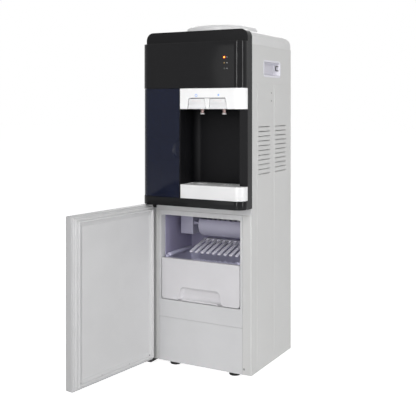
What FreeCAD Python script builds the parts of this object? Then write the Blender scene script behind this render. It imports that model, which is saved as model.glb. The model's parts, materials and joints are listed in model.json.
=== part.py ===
"""A free-standing water cooler with a bottle seat on top and an ice maker below.

Millimetres. +X is the right side seen from the front, -Y is the front, +Z is up. The origin is
on the floor, at the centre of the four feet. The lower door is modelled standing open.
"""
import FreeCAD, Part
import math
import os
import re
import sys

import Sketcher
from FreeCAD import Placement, Rotation, Vector

DRIVING_SIZES = (
    # the cabinet
    ("cabinet_width", 330, "across the two side panels"),
    ("cabinet_depth", 278, "front to back of the side panels"),
    ("floor_gap", 14, "height of the feet"),
    ("foot_radius", 16.5, "radius of a foot's pad"),
    ("foot_spacing_x", 196, "between the feet, side to side"),
    ("foot_spacing_y", 224, "between the feet, front to back"),
    ("sheet_wall", 2, "wall of the steel casing"),
    ("plastic_wall", 3, "wall of the moulded covers"),
    ("pan_upturn", 16, "height of the base pan's upturned edge"),
    ("side_flange", 27.5, "width of the side panel's front flange"),
    ("flange_lead", 4, "how far the lower front stands ahead of the side panels"),
    ("kick_height", 129, "height of the panel under the ice bay"),
    ("bay_height", 314, "height of the ice bay's frame"),
    ("rail_height", 21, "height of the rail over the ice bay"),
    ("cover_height", 39, "height of the top cover"),
    ("cover_side_round", 22, "round along the top cover's sides"),
    ("cover_back_round", 33, "round along the top cover's back"),
    # the dark front, from the bottom up
    ("bezel_depth", 28, "depth of the dark plate on the front"),
    ("bezel_corner", 22, "round of the plate's two top corners"),
    ("bezel_lip", 2.5, "how far the plate stands above the top cover"),
    ("bulge_depth", 32, "how far the raised panels stand out of the plate"),
    ("bulge_corner", 28, "round of the raised panels' side corners"),
    ("strip_height", 24, "height of the strip under the tray"),
    ("tray_height", 39, "height of the drip tray"),
    ("tray_gap", 1, "gap around and under the drip tray"),
    ("tray_back_gap", 6, "gap behind the drip tray"),
    ("grille_thickness", 2.7, "thickness of the drip grille"),
    ("grille_gap", 0.3, "gap between the drip tray and its grille"),
    ("grille_rim", 1.2, "rim of the drip tray round its grille"),
    ("grille_slot_width", 7, "width of an oval slot in the drip grille"),
    ("grille_slot_length", 30, "length of an oval slot in the drip grille"),
    ("grille_slot_back", 10, "from the plate's face back to the middle of the drip grille's slots"),
    ("alcove_height", 212.5, "from the tray up to the tap panel"),
    ("panel_height", 58.5, "height of the tap panel"),
    ("fascia_height", 129, "height of the upper fascia"),
    ("recess_depth", 22, "depth of the recess that holds the keys"),
    ("fascia_rise", 7, "how far the fascia reaches above the side panels"),
    ("alcove_width", 172, "width of the tap alcove"),
    ("pillar_width", 25, "width of the plate to the right of the alcove"),
    ("alcove_reach", 30, "how far the alcove goes back behind the side panels' front"),
    ("alcove_corner", 20, "round of the alcove's back corners"),
    ("cup_reach", 40, "how far the cup cabinet goes back"),
    ("shelf_height", 96, "height of the cup shelf above the strip"),
    ("shelf_hole", 9, "radius of the hole in the middle of the cup shelf"),
    ("shelf_drain", 2, "radius of the small holes in the cup shelf"),
    ("dimple_radius", 26, "radius of the cup door's finger dimple"),
    ("dimple_height", 138.5, "height of the finger dimple above the strip"),
    ("dimple_depth", 1.8, "depth of the finger dimple"),
    ("cup_pin_radius", 0.8, "radius of the cup door's pins"),
    ("cup_door_gap", 1.5, "how far the cup door stands back from the bulge"),
    ("seam", 0.5, "gap between neighbouring covers"),
    ("lamp_radius", 2.5, "radius of an indicator lamp"),
    ("lamp_drop", 45, "from the fascia's top down to the highest lamp"),
    ("lamp_pitch", 15.5, "pitch of the indicator lamps"),
    ("lamp_inset", 56, "from the cabinet's right side to the indicator lamps"),
    # taps and keys
    ("tap_spacing", 70, "between the two taps"),
    ("tap_setback", 39.5, "from the bulge's face back to the taps"),
    ("nozzle_radius", 6.5, "outer radius of a tap nozzle"),
    ("nozzle_bore", 4, "bore radius of a tap nozzle"),
    ("nozzle_drop", 15, "how far a nozzle hangs below the tap panel"),
    ("key_width", 46, "width of a push key"),
    ("key_height", 29, "height of a push key"),
    ("key_pin_radius", 1.5, "radius of a key's pivot pin"),
    ("key_pin_setback", 9, "from the bulge's face back to the keys' pins"),
    ("key_pin_drop", 5, "from a key's top down to its pin"),
    ("valve_radius", 10, "radius of a tap's valve"),
    ("valve_height", 34, "height of a tap's valve"),
    ("feed_radius", 6, "radius of a tap's feed"),
    ("feed_length", 62, "length of a tap's feed"),
    ("feed_height", 28, "height of a tap's feed above the tap panel's lower edge"),
    ("plunger_radius", 3, "radius of a tap's plunger"),
    ("plunger_lead", 14.5, "from the bulge's face back to a plunger's tip"),
    ("fit_gap", 0.05, "radial running clearance of a pin"),
    # bottle seat and tanks
    ("seat_setback", 4, "how far the bottle seat lies in front of the cabinet's centre"),
    ("collar_base_radius", 107, "outer radius of the bottle collar at the cover"),
    ("collar_top_radius", 100, "outer radius of the bottle collar at its rim"),
    ("collar_height", 22, "height of the bottle collar"),
    ("collar_bore", 84, "inner radius of the bottle collar"),
    ("seat_skirt", 16, "height of the seat's collar below its rim"),
    ("seat_throat", 16, "width of the seat's floor around the probe"),
    ("seat_depth", 36, "how far the seat reaches below the top cover"),
    ("probe_height", 52, "length of the bottle probe's stem"),
    ("probe_tip", 12, "length of the bottle probe's tip"),
    ("probe_radius", 9, "radius of the bottle probe"),
    ("cold_tank_radius", 80, "outer radius of the cold tank"),
    ("cold_tank_height", 93, "height of the cold tank"),
    ("jacket_wall", 20, "thickness of the cold tank's insulation"),
    ("hot_tank_radius", 46, "outer radius of the hot tank"),
    ("hot_tank_height", 140, "height of the hot tank"),
    ("hose_radius", 4, "outer radius of the water hoses"),
    ("line_radius", 3, "outer radius of the refrigerant lines"),
    # ice bay
    ("bay_width", 260, "width of the ice bay's opening"),
    ("bay_bottom_rail", 51, "height of the frame below the opening"),
    ("bay_top_rail", 14, "height of the frame above the opening"),
    ("bay_reach", 175, "how far the ice bay goes back"),
    ("frame_depth", 20, "how far the frame reaches in behind the side panels' front"),
    ("bin_height", 124, "height of the ice bin's side walls"),
    ("bin_wall", 3, "wall of the ice bin"),
    ("bin_front_height", 120, "height of the bin's front panel"),
    ("grip_top_width", 126, "width of the bin's grip at its top"),
    ("grip_bottom_width", 140, "width of the bin's grip at its bottom"),
    ("grip_height", 35, "height of the bin's grip"),
    ("grip_depth", 15, "depth of the bin's grip"),
    ("tray_radius", 36, "outer radius of the ice maker's water tray"),
    ("tray_length", 166, "length of the ice maker's water tray"),
    ("finger_radius", 5, "radius of a freezing finger"),
    ("rib_pitch", 19, "pitch of the ice slide's ribs"),
    ("rib_width", 9, "width of a rib"),
    ("rib_thickness", 6, "thickness of a rib"),
    ("rib_count", 10, "number of ribs"),
    ("slide_rise", 24, "how far the ribs climb towards the back"),
    # side panels
    ("louvre_count", 11, "louvres in a column"),
    ("louvre_pitch", 13.4, "pitch of the louvres"),
    ("louvre_height", 5, "height of a louvre's slot"),
    ("louvre_bottom", 565, "height of the lowest louvre"),
    ("louvre_front", 41, "from the front to the first louvre column"),
    ("louvre_back", 39, "from the back to the second louvre column"),
    ("louvre_gap", 37, "between the louvre columns"),
    ("emboss_height", 0.7, "how far the side panels' pressed fields stand out"),
    ("emboss_margin", 33, "from the panel's edges to the pressed fields"),
    ("emboss_gap", 24, "between the pressed fields"),
    ("emboss_length", 795, "how far up the pressed fields reach"),
    ("emboss_bottom", 17, "from the panel's lower edge to the pressed fields"),
    ("side_screw_lead", 6.5, "how far the side panels' screws stand ahead of their middle"),
    ("side_screw_radius", 2, "radius of the side panels' screws"),
    ("side_screw_drop", 134, "from the side panel's top down to its upper screw"),
    ("side_screw_pitch", 23, "between the side panels' screws"),
    ("cup_corner", 6, "round of a handle cup's corners"),
    ("cup_length", 113, "length of a handle cup"),
    ("cup_height", 40, "height of a handle cup"),
    ("cup_depth", 22, "depth of a handle cup"),
    ("cup_front", 81, "from the front to a handle cup"),
    ("cup_drop", 44, "from the side panel's top down to a handle cup"),
    # lower door
    ("door_margin", 1, "how far the door stops short of the cabinet's sides"),
    ("door_gap", 4, "gap above the door"),
    ("door_lift", 2, "gap below the door"),
    ("door_shell_depth", 24, "depth of the door's outer shell"),
    ("door_liner_depth", 8, "how far the liner's pad stands out of the shell"),
    ("door_liner_inset", 6, "from the shell's edge to the liner's pad"),
    ("door_pad_inset", 28, "from the shell's edge to the field inside the gasket"),
    ("gasket_depth", 7.5, "thickness of the door gasket"),
    ("gasket_width", 13, "width of the door gasket"),
    ("gasket_inset", 14, "from the door's edge to the gasket"),
    ("gasket_gap", 0.5, "gap between the closed gasket and the frame"),
    ("pivot_inset", 9, "from the cabinet's side to the door's pivot"),
    ("pivot_lead", 25.8, "from the side panels' front to the door's pivot"),
    ("hinge_pin_radius", 3, "radius of a door hinge pin"),
    ("hinge_plate", 2.5, "thickness of a hinge plate"),
    ("door_open_angle", 97, "how far the door stands open, in degrees"),
    # machine bay and back
    ("compressor_radius", 52, "radius of the compressor's shell"),
    ("compressor_height", 112, "height of the compressor's shell"),
    ("fan_radius", 44, "radius of the fan blades"),
    ("fan_hub_radius", 14, "radius of the fan's hub"),
    ("fan_blades", 5, "number of fan blades"),
    ("condenser_fins", 24, "number of condenser fins"),
    ("grille_margin", 40, "from the cabinet's sides to the rear grille's slots"),
    ("grille_slot", 7, "width of a slot in the rear grille"),
    ("grille_slots", 14, "slots in the rear grille"),
    ("switch_inset", 40, "from the cabinet's right side to the rocker switches"),
    ("switch_drop", 22, "from the tap panel's top down to the rocker switches"),
    ("switch_height", 38, "height of the rocker switches' housing"),
    ("switch_count", 2, "rocker switches on the back"),
    ("switch_pitch", 30, "pitch of the rocker switches"),
    ("drain_radius", 9, "outer radius of the drain spigot"),
    ("screw_radius", 3.2, "radius of a visible screw head"),
)

DOC = FreeCAD.newDocument("WaterCooler")
SHEET = DOC.addObject("Spreadsheet::Sheet", "Sizes")
for row, (alias, number, meaning) in enumerate(DRIVING_SIZES, start=1):
    SHEET.set(f"A{row}", str(number))
    SHEET.setAlias(f"A{row}", alias)
    SHEET.set(f"B{row}", meaning)
DOC.recompute()

ALIASES = re.compile(r"\b(" + "|".join(alias for alias, _, _ in DRIVING_SIZES) + r")\b")
SUB_PARTS = []

# Planes of the cabinet, each worked out from the driving sizes.
LEFT = "(-cabinet_width / 2)"
RIGHT = "(cabinet_width / 2)"
FRONT = "(-cabinet_depth / 2)"
BACK = "(cabinet_depth / 2)"
INNER_LEFT = f"({LEFT} + sheet_wall)"
INNER_RIGHT = f"({RIGHT} - sheet_wall)"
LOWER_FACE = f"({FRONT} - flange_lead)"
PLATE_FACE = f"({FRONT} - bezel_depth)"
BULGE_FACE = f"({FRONT} - bezel_depth - bulge_depth)"

# Levels, from the floor up.
KICK_TOP = "(floor_gap + kick_height)"
OPENING_BOTTOM = f"({KICK_TOP} + bay_bottom_rail)"
BAY_TOP = f"({KICK_TOP} + bay_height)"
OPENING_TOP = f"({BAY_TOP} - bay_top_rail)"
PLATE_BOTTOM = f"({BAY_TOP} + rail_height)"
STRIP_TOP = f"({PLATE_BOTTOM} + strip_height)"
TRAY_TOP = f"({STRIP_TOP} + tray_height)"
PANEL_BOTTOM = f"({TRAY_TOP} + alcove_height)"
PANEL_TOP = f"({PANEL_BOTTOM} + panel_height)"
FASCIA_TOP = f"({PANEL_TOP} + fascia_height)"
SHELL_TOP = f"({FASCIA_TOP} - fascia_rise)"
COVER_TOP = f"({SHELL_TOP} + cover_height)"
PLATE_TOP = f"({COVER_TOP} + bezel_lip)"

# The dark front is split at the alcove's left edge.
ALCOVE_RIGHT = f"({RIGHT} - pillar_width)"
ALCOVE_LEFT = f"({ALCOVE_RIGHT} - alcove_width)"
CUP_RIGHT = f"({ALCOVE_LEFT} - plastic_wall)"
CUP_LEFT = f"({LEFT} + door_margin + plastic_wall)"
TAP_MIDDLE = f"({ALCOVE_LEFT} + alcove_width / 2)"
SEAT_Y = "(-seat_setback)"
LAMP_X = f"({RIGHT} - lamp_inset)"


# ---------------------------------------------------------------- small tools

def sheet_terms(text):
    """Point every size named in an expression at the sheet."""
    return ALIASES.sub(r"Sizes.\1", str(text))


def bind(item, prop, text):
    """Drive a property of an object from the sheet."""
    item.setExpression(prop, sheet_terms(text))


def value(text):
    """The present value of an expression, for choices and counts."""
    return float(SHEET.evalExpression(str(text)))


def publish(item):
    """Keep a finished sub-part; its label names its file."""
    SUB_PARTS.append(item)
    return item


def place(item, x, y, z):
    """Bind an object's position."""
    bind(item, "Placement.Base.x", x)
    bind(item, "Placement.Base.y", y)
    bind(item, "Placement.Base.z", z)


def box(name, x, y, z):
    """A block; x, y and z are (low, high) pairs."""
    item = DOC.addObject("Part::Box", name)
    for prop, (low, high) in zip(("Length", "Width", "Height"), (x, y, z)):
        bind(item, prop, f"({high}) - ({low})")
    place(item, x[0], y[0], z[0])
    return item


TURNS = {"X": Rotation(Vector(0, 1, 0), 90), "Y": Rotation(Vector(1, 0, 0), -90), "Z": Rotation()}


def cylinder(name, at, radius, length, axis="Z"):
    """A round bar that starts at a point and runs along an axis."""
    item = DOC.addObject("Part::Cylinder", name)
    item.Placement = Placement(Vector(), TURNS[axis])
    bind(item, "Radius", radius)
    bind(item, "Height", length)
    place(item, *at)
    return item


def cone(name, at, low_radius, high_radius, length, axis="Z"):
    """A round taper that starts at a point and runs along an axis."""
    item = DOC.addObject("Part::Cone", name)
    item.Placement = Placement(Vector(), TURNS[axis])
    bind(item, "Radius1", low_radius)
    bind(item, "Radius2", high_radius)
    bind(item, "Height", length)
    place(item, *at)
    return item


def fuse(name, items):
    """Join touching or overlapping shapes into one piece."""
    item = DOC.addObject("Part::MultiFuse", name)
    item.Shapes = items
    item.Refine = True
    return item


def group(name, items):
    """Keep separate solids together in one sub-part."""
    item = DOC.addObject("Part::Compound", name)
    item.Links = items
    return item


def cut(name, base, tools):
    """Take one or more shapes away from another."""
    item = DOC.addObject("Part::Cut", name)
    item.Base = base
    item.Tool = tools[0] if len(tools) == 1 else group(name + "_tools", tools)
    item.Refine = True
    return item


def tube(name, at, outer, inner, length, axis="Z"):
    """A round pipe."""
    wall = cylinder(name + "_wall", at, outer, length, axis)
    bore = cylinder(name + "_bore", at, inner, length, axis)
    return cut(name, wall, [bore])


def rounded(name, base, radius, picks):
    """Round the edges that picks(edge) accepts."""
    base.recompute(True)
    size = value(radius)
    chosen = [k for k, edge in enumerate(base.Shape.Edges, start=1) if picks(edge)]
    if not chosen:
        sys.exit(f"{name}: no edge to round")
    item = DOC.addObject("Part::Fillet", name)
    item.Base = base
    item.Edges = [(k, size, size) for k in chosen]
    return item


def runs_along(edge, axis):
    """Whether an edge is straight and runs along an axis."""
    if edge.Curve.TypeId != "Part::GeomLine":
        return False
    start, end = edge.Vertexes[0].Point, edge.Vertexes[-1].Point
    return abs((end - start).normalize().dot(axis)) > 0.999


def middle(edge):
    """The middle of an edge's box."""
    return edge.BoundBox.Center


UP = Vector(0, 0, 1)
ACROSS = Vector(1, 0, 0)
INWARD = Vector(0, 1, 0)


# -------------------------------------------------- bodies made from sketches

def new_body(name):
    """An empty body."""
    return DOC.addObject("PartDesign::Body", name)


def new_sketch(body, plane, level):
    """A sketch on one of the body's own planes, moved to a level along the plane's normal."""
    role = plane + "_Plane"
    support = [item for item in body.Origin.OriginFeatures if item.Role == role][0]
    sketch = body.newObject("Sketcher::SketchObject", body.Name + "_outline")
    sketch.AttachmentSupport = (support, [""])
    sketch.MapMode = "FlatFace"
    bind(sketch, "AttachmentOffset.Base.z", level)
    return sketch


def pin_point(sketch, geometry, end, x, y):
    """Tie a sketch point to two expressions."""
    for kind, text in (("DistanceX", x), ("DistanceY", y)):
        index = sketch.addConstraint(Sketcher.Constraint(kind, -1, 1, geometry, end, value(text)))
        bind(sketch, f"Constraints[{index}]", text)


def direction(start, end):
    """Unit step from one corner to the next."""
    step = Vector(value(end[0]) - value(start[0]), value(end[1]) - value(start[1]), 0)
    return step.normalize()


def outline(sketch, corners):
    """A closed outline. A corner is (x, y), or (x, y, radius) between two square edges."""
    count = len(corners)
    stations = []
    for k, corner in enumerate(corners):
        before, after = corners[k - 1], corners[(k + 1) % count]
        if len(corner) == 2:
            stations.append((corner, corner, None))
            continue
        x, y, radius = corner
        towards, away = direction(before, corner), direction(corner, after)
        start = (f"({x}) - {towards.x:.0f} * ({radius})", f"({y}) - {towards.y:.0f} * ({radius})")
        end = (f"({x}) + {away.x:.0f} * ({radius})", f"({y}) + {away.y:.0f} * ({radius})")
        stations.append((start, end, radius))
    for k, (start, end, radius) in enumerate(stations):
        if radius is not None:
            draw_corner(sketch, corners[k], start, end, radius)
        following = stations[(k + 1) % count][0]
        first, last = Vector(value(end[0]), value(end[1]), 0), Vector(value(following[0]), value(following[1]), 0)
        line = sketch.addGeometry(Part.LineSegment(first, last), False)
        pin_point(sketch, line, 1, *end)
        pin_point(sketch, line, 2, *following)


def draw_corner(sketch, corner, start, end, radius):
    """The round of one square corner, bulging towards the corner."""
    first = Vector(value(start[0]), value(start[1]), 0)
    last = Vector(value(end[0]), value(end[1]), 0)
    tip = Vector(value(corner[0]), value(corner[1]), 0)
    centre = first + last - tip
    bulge = centre + (tip - centre).normalize() * value(radius)
    if (bulge - first).cross(last - bulge).z < 0:
        first, last, start, end = last, first, end, start
    arc = sketch.addGeometry(Part.Arc(first, bulge, last), False)
    pin_point(sketch, arc, 1, *start)
    pin_point(sketch, arc, 2, *end)
    size = sketch.addConstraint(Sketcher.Constraint("Radius", arc, value(radius)))
    bind(sketch, f"Constraints[{size}]", radius)


def circle(sketch, x, y, radius):
    """A circle tied to the sheet."""
    centre = Vector(value(x), value(y), 0)
    index = sketch.addGeometry(Part.Circle(centre, Vector(0, 0, 1), value(radius)), False)
    pin_point(sketch, index, 3, x, y)
    size = sketch.addConstraint(Sketcher.Constraint("Radius", index, value(radius)))
    bind(sketch, f"Constraints[{size}]", radius)


def slab(name, plane, corners, low, high):
    """A body padded from an outline between two levels of the plane's axis."""
    body = new_body(name)
    grow(body, plane, corners, low, high)
    return body


def grow(body, plane, corners, low, high):
    """Pad an outline between two levels."""
    start = f"-({high})" if plane == "XZ" else low
    sketch = new_sketch(body, plane, start)
    outline(sketch, corners)
    pad = body.newObject("PartDesign::Pad", body.Name + "_pad")
    pad.Profile = sketch
    bind(pad, "Length", f"({high}) - ({low})")
    return pad


def carve(body, plane, corners, low, high):
    """Pocket an outline between two levels."""
    start = f"-({low})" if plane == "XZ" else high
    sketch = new_sketch(body, plane, start)
    outline(sketch, corners)
    pocket = body.newObject("PartDesign::Pocket", body.Name + "_pocket")
    pocket.Profile = sketch
    bind(pocket, "Length", f"({high}) - ({low})")
    return pocket


def rectangle(x, y, radius=None):
    """Corners of a rectangle; x and y are (low, high) pairs."""
    ring = [(x[0], y[0]), (x[1], y[0]), (x[1], y[1]), (x[0], y[1])]
    return ring if radius is None else [corner + (radius,) for corner in ring]


def repeat(body, feature, axis, span, count):
    """A straight row of copies of a feature along a sketch axis."""
    pattern = body.newObject("PartDesign::LinearPattern", body.Name + "_row")
    pattern.Originals = [feature]
    pattern.Direction = (feature.Profile[0], [axis])
    bind(pattern, "Length", span)
    bind(pattern, "Occurrences", count)
    body.Tip = pattern
    return pattern


def revolved(name, corners, x, y):
    """A body of revolution about a vertical line; corners are (radius, height) pairs."""
    body = new_body(name)
    sketch = new_sketch(body, "XZ", "0")
    outline(sketch, corners)
    turn = body.newObject("PartDesign::Revolution", name + "_turn")
    turn.Profile = sketch
    turn.ReferenceAxis = (sketch, ["V_Axis"])
    turn.Angle = 360
    place(body, x, y, "0")
    return body


def pipe(name, points, radius):
    """A round pipe along straight runs with rounded corners."""
    places = [Vector(*(value(number) for number in point)) for point in points]
    edges, here = [], places[0]
    for k in range(1, len(places) - 1):
        back, ahead = (places[k - 1] - places[k]), (places[k + 1] - places[k])
        bend = 0.45 * min(back.Length, ahead.Length)
        first = places[k] + back.normalize() * bend
        last = places[k] + ahead.normalize() * bend
        half = back.getAngle(ahead) / 2
        centre = places[k] + (back + ahead).normalize() * (bend / math.cos(half))
        peak = centre + (places[k] - centre).normalize() * (bend * math.tan(half))
        edges += [Part.LineSegment(here, first).toShape(), Part.Arc(first, peak, last).toShape()]
        here = last
    edges.append(Part.LineSegment(here, places[-1]).toShape())
    ring = Part.Circle(places[0], places[1] - places[0], value(radius)).toShape()
    shape = Part.Wire(edges).makePipeShell([Part.Wire([ring])], True, False)
    item = DOC.addObject("Part::Feature", name)
    item.Shape = shape
    return item


# ---------------------------------------------------------------- the cabinet

def base_pan():
    """The steel floor of the cabinet, with an upturned edge."""
    shell = box("base_pan_block", (INNER_LEFT, INNER_RIGHT), (FRONT, f"{BACK} - 2 * sheet_wall"),
                ("floor_gap", "floor_gap + pan_upturn"))
    inside = box("base_pan_inside", (f"{INNER_LEFT} + sheet_wall", f"{INNER_RIGHT} - sheet_wall"),
                 (f"{FRONT} + sheet_wall", f"{BACK} - 3 * sheet_wall"),
                 ("floor_gap + sheet_wall", "floor_gap + pan_upturn + 1"))
    publish(cut("base_pan", shell, [inside]))


def feet():
    """Four round feet; the floor is at height 0."""
    pads = []
    for k, (side, end) in enumerate(((-1, -1), (1, -1), (1, 1), (-1, 1))):
        at = (f"{side} * foot_spacing_x / 2", f"{end} * foot_spacing_y / 2", "0")
        pads.append(cylinder(f"foot_pad_{k}", at, "foot_radius", "floor_gap"))
    publish(group("feet", pads))


def side_panel(name, side):
    """One side of the casing: a folded sheet with pressed fields, louvres and a handle hole."""
    widest = f"{side} * cabinet_width / 2"
    outer = f"{side} * (cabinet_width / 2 - emboss_height)"
    inner = f"{side} * (cabinet_width / 2 - sheet_wall)"
    flange_end = f"{side} * (cabinet_width / 2 - side_flange)"
    rear_end = f"{side} * (cabinet_width / 2 - side_flange / 2)"
    rear = f"({BACK} - sheet_wall)"
    corners = [
        (outer, LOWER_FACE, "flange_lead"),
        (outer, rear),
        (rear_end, rear),
        (rear_end, f"{rear} - sheet_wall"),
        (inner, f"{rear} - sheet_wall"),
        (inner, f"{LOWER_FACE} + sheet_wall", "flange_lead - sheet_wall"),
        (flange_end, f"{LOWER_FACE} + sheet_wall"),
        (flange_end, LOWER_FACE),
    ]
    body = slab(name, "XY", corners, "floor_gap", SHELL_TOP)
    reach = sorted((widest, inner), key=value)
    beyond = sorted((f"{side} * (cabinet_width / 2 + 1)", flange_end), key=value)
    carve(body, "XY", rectangle((f"({beyond[0]}) - 1", f"({beyond[1]}) + 1"),
                                (f"{LOWER_FACE} - 1", FRONT)), BAY_TOP, f"{SHELL_TOP} + 1")
    skin = sorted((outer, widest), key=value)
    field = "((cabinet_depth - 2 * emboss_margin - emboss_gap) / 2)"
    low = "(floor_gap + emboss_bottom)"
    for start in (f"{FRONT} + emboss_margin", f"{FRONT} + emboss_margin + {field} + emboss_gap"):
        grow(body, "YZ", rectangle((start, f"{start} + {field}"), (low, f"{low} + emboss_length")), *skin)
    carve(body, "YZ", rectangle((f"{FRONT} + cup_front", f"{FRONT} + cup_front + cup_length"),
                                (f"{SHELL_TOP} - cup_drop - cup_height", f"{SHELL_TOP} - cup_drop"), "cup_corner"),
          *reach)
    column = "((cabinet_depth - louvre_front - louvre_back - louvre_gap) / 2)"
    for start in (f"{FRONT} + louvre_front", f"{FRONT} + louvre_front + {column} + louvre_gap"):
        slot = carve(body, "YZ", rectangle((start, f"{start} + {column}"),
                                           ("louvre_bottom", "louvre_bottom + louvre_height")), *reach)
        repeat(body, slot, "V_Axis", "louvre_pitch * (louvre_count - 1)", "louvre_count")
    publish(body)


def handle_cup(name, side):
    """The moulded recess that a hand takes hold of, set into the side panel's hole."""
    face = f"{side} * cabinet_width / 2"
    floor = f"{side} * (cabinet_width / 2 - cup_depth)"
    x = sorted((face, floor), key=value)
    hollow = sorted((f"{side} * (cabinet_width / 2 + 1)",
                     f"{side} * (cabinet_width / 2 - cup_depth + sheet_wall)"), key=value)
    y = (f"{FRONT} + cup_front", f"{FRONT} + cup_front + cup_length")
    z = (f"{SHELL_TOP} - cup_drop - cup_height", f"{SHELL_TOP} - cup_drop")
    body = slab(name, "YZ", rectangle((f"{y[0]} + fit_gap", f"{y[1]} - fit_gap"),
                                      (f"{z[0]} + fit_gap", f"{z[1]} - fit_gap"), "cup_corner - fit_gap"), *x)
    carve(body, "YZ", rectangle((f"{y[0]} + sheet_wall", f"{y[1]} - sheet_wall"),
                                (f"{z[0]} + sheet_wall", f"{z[1]} - sheet_wall"), "cup_corner - sheet_wall"), *hollow)
    return body


def rear_panel():
    """The plain back sheet; it stops above the machine bay, which a grille closes."""
    sheet = box("rear_panel_sheet", (LEFT, RIGHT), (f"{BACK} - sheet_wall", BACK), (KICK_TOP, SHELL_TOP))
    width = "(switch_count * switch_pitch)"
    hole = box("rear_panel_switch_hole", (f"{RIGHT} - switch_inset - {width}", f"{RIGHT} - switch_inset"),
               (f"{BACK} - 2 * sheet_wall", f"{BACK} + 1"),
               (f"{PANEL_TOP} - switch_drop - switch_height", f"{PANEL_TOP} - switch_drop"))
    publish(cut("rear_panel", sheet, [hole]))


def rear_grille():
    """The slotted cover of the machine bay, below the back sheet."""
    body = slab("rear_grille", "XZ", rectangle((LEFT, RIGHT), ("floor_gap", KICK_TOP)),
                f"{BACK} - sheet_wall", BACK)
    slot_x = (f"{LEFT} + grille_margin", f"{LEFT} + grille_margin + grille_slot")
    slot = carve(body, "XZ", rectangle(slot_x, ("floor_gap + 34", f"{KICK_TOP} - 20"), "grille_slot / 2 - 0.5"),
                 f"{BACK} - sheet_wall", BACK)
    repeat(body, slot, "H_Axis", "cabinet_width - 4.5 * grille_margin", "grille_slots")
    publish(body)


def top_cover():
    """The moulded lid: rounded along its sides and back, with a round hole for the seat."""
    solid = rounded_lid("top_cover_outside", "0")
    inside = rounded_lid("top_cover_inside", "plastic_wall")
    hole = cylinder("top_cover_hole", ("0", SEAT_Y, SHELL_TOP), "collar_bore", "2 * cover_height")
    publish(cut("top_cover", solid, [inside, hole]))


def rounded_lid(name, inset):
    """What two outlines share, one rounded at its sides and one at its back, set in by a wall."""
    low = SHELL_TOP if inset == "0" else f"({SHELL_TOP} - 1)"
    top = f"({COVER_TOP} - {inset})"
    x = (f"{LEFT} + {inset}", f"{RIGHT} - {inset}")
    y = (f"{FRONT} + {inset}", f"{BACK} - {inset}")
    side, back = f"(cover_side_round - {inset})", f"(cover_back_round - {inset})"
    lid = DOC.addObject("Part::Common", name)
    lid.Base = slab(name + "_sides", "XZ", [(x[0], low), (x[1], low), (x[1], top, side), (x[0], top, side)], *y)
    lid.Tool = slab(name + "_back", "YZ", [(y[0], low), (y[1], low), (y[1], top, back), (y[0], top)],
                    f"{x[0]} - 1", f"{x[1]} + 1")
    return lid


def bottle_collar():
    """The tapered ring around the bottle seat."""
    publish(revolved("bottle_collar", [
        ("collar_bore", COVER_TOP),
        ("collar_base_radius", COVER_TOP),
        ("collar_top_radius", f"{COVER_TOP} + collar_height"),
        ("collar_bore", f"{COVER_TOP} + collar_height"),
    ], "0", SEAT_Y))


def bottle_seat():
    """The funnel that carries the bottle's shoulder, with the probe that opens the bottle."""
    rim = f"({COVER_TOP} + collar_height)"
    wall = "plastic_wall"
    reach = "(collar_bore - 1)"
    throat = "(probe_radius + seat_throat)"
    low = f"({COVER_TOP} - seat_depth)"
    funnel = revolved("bottle_seat_funnel", [
        (reach, f"{rim} - seat_skirt"),
        (reach, f"{rim} + 1"),
        ("collar_top_radius - 4", f"{rim} + 1"),
        ("collar_top_radius - 4", f"{rim} + 0.3 + {wall}"),
        (f"{reach} - {wall}", f"{rim} + 0.3 + {wall}"),
        (f"{reach} - {wall}", f"{rim} - seat_skirt + {wall}"),
        (f"{throat} + {wall}", f"{low} + {wall}"),
        ("probe_radius", f"{low} + {wall}"),
        ("probe_radius", low),
        (f"{throat} + {wall}", low),
    ], "0", SEAT_Y)
    stem = cylinder("bottle_probe_stem", ("0", SEAT_Y, f"{low} - 8"), "probe_radius", "probe_height")
    tip = cone("bottle_probe_tip", ("0", SEAT_Y, f"{low} - 8 + probe_height"), "probe_radius",
               "probe_radius / 3", "probe_tip")
    window = box("bottle_probe_window", ("-probe_radius - 1", "probe_radius + 1"),
                 (f"{SEAT_Y} - probe_radius / 3", f"{SEAT_Y} + probe_radius / 3"),
                 (f"{low} + probe_height / 2", f"{low} + probe_height - probe_tip"))
    probe = cut("bottle_probe", fuse("bottle_probe_solid", [stem, tip]), [window])
    publish(group("bottle_seat", [funnel, probe]))


# ------------------------------------------------------------- the dark front

def front_plate():
    """The dark plate that frames the upper front, open where the covers and the alcove are."""
    body = slab("front_plate", "XZ", [
        (LEFT, PLATE_BOTTOM), (RIGHT, PLATE_BOTTOM),
        (RIGHT, PLATE_TOP, "bezel_corner"), (LEFT, PLATE_TOP, "bezel_corner"),
    ], PLATE_FACE, FRONT)
    wall = "plastic_wall"
    carve(body, "XZ", [
        (f"{LEFT} + {wall}", f"{PLATE_BOTTOM} + {wall}"), (f"{RIGHT} - {wall}", f"{PLATE_BOTTOM} + {wall}"),
        (f"{RIGHT} - {wall}", f"{PLATE_TOP} - {wall}", f"bezel_corner - {wall}"),
        (f"{LEFT} + {wall}", f"{PLATE_TOP} - {wall}", f"bezel_corner - {wall}"),
    ], f"{PLATE_FACE} + {wall}", f"{FRONT} + 1")
    carve(body, "XZ", rectangle((CUP_LEFT, ALCOVE_RIGHT), (STRIP_TOP, f"{PANEL_TOP} - {wall}")),
          f"{PLATE_FACE} - 1", f"{PLATE_FACE} + {wall}")
    publish(body)


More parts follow.
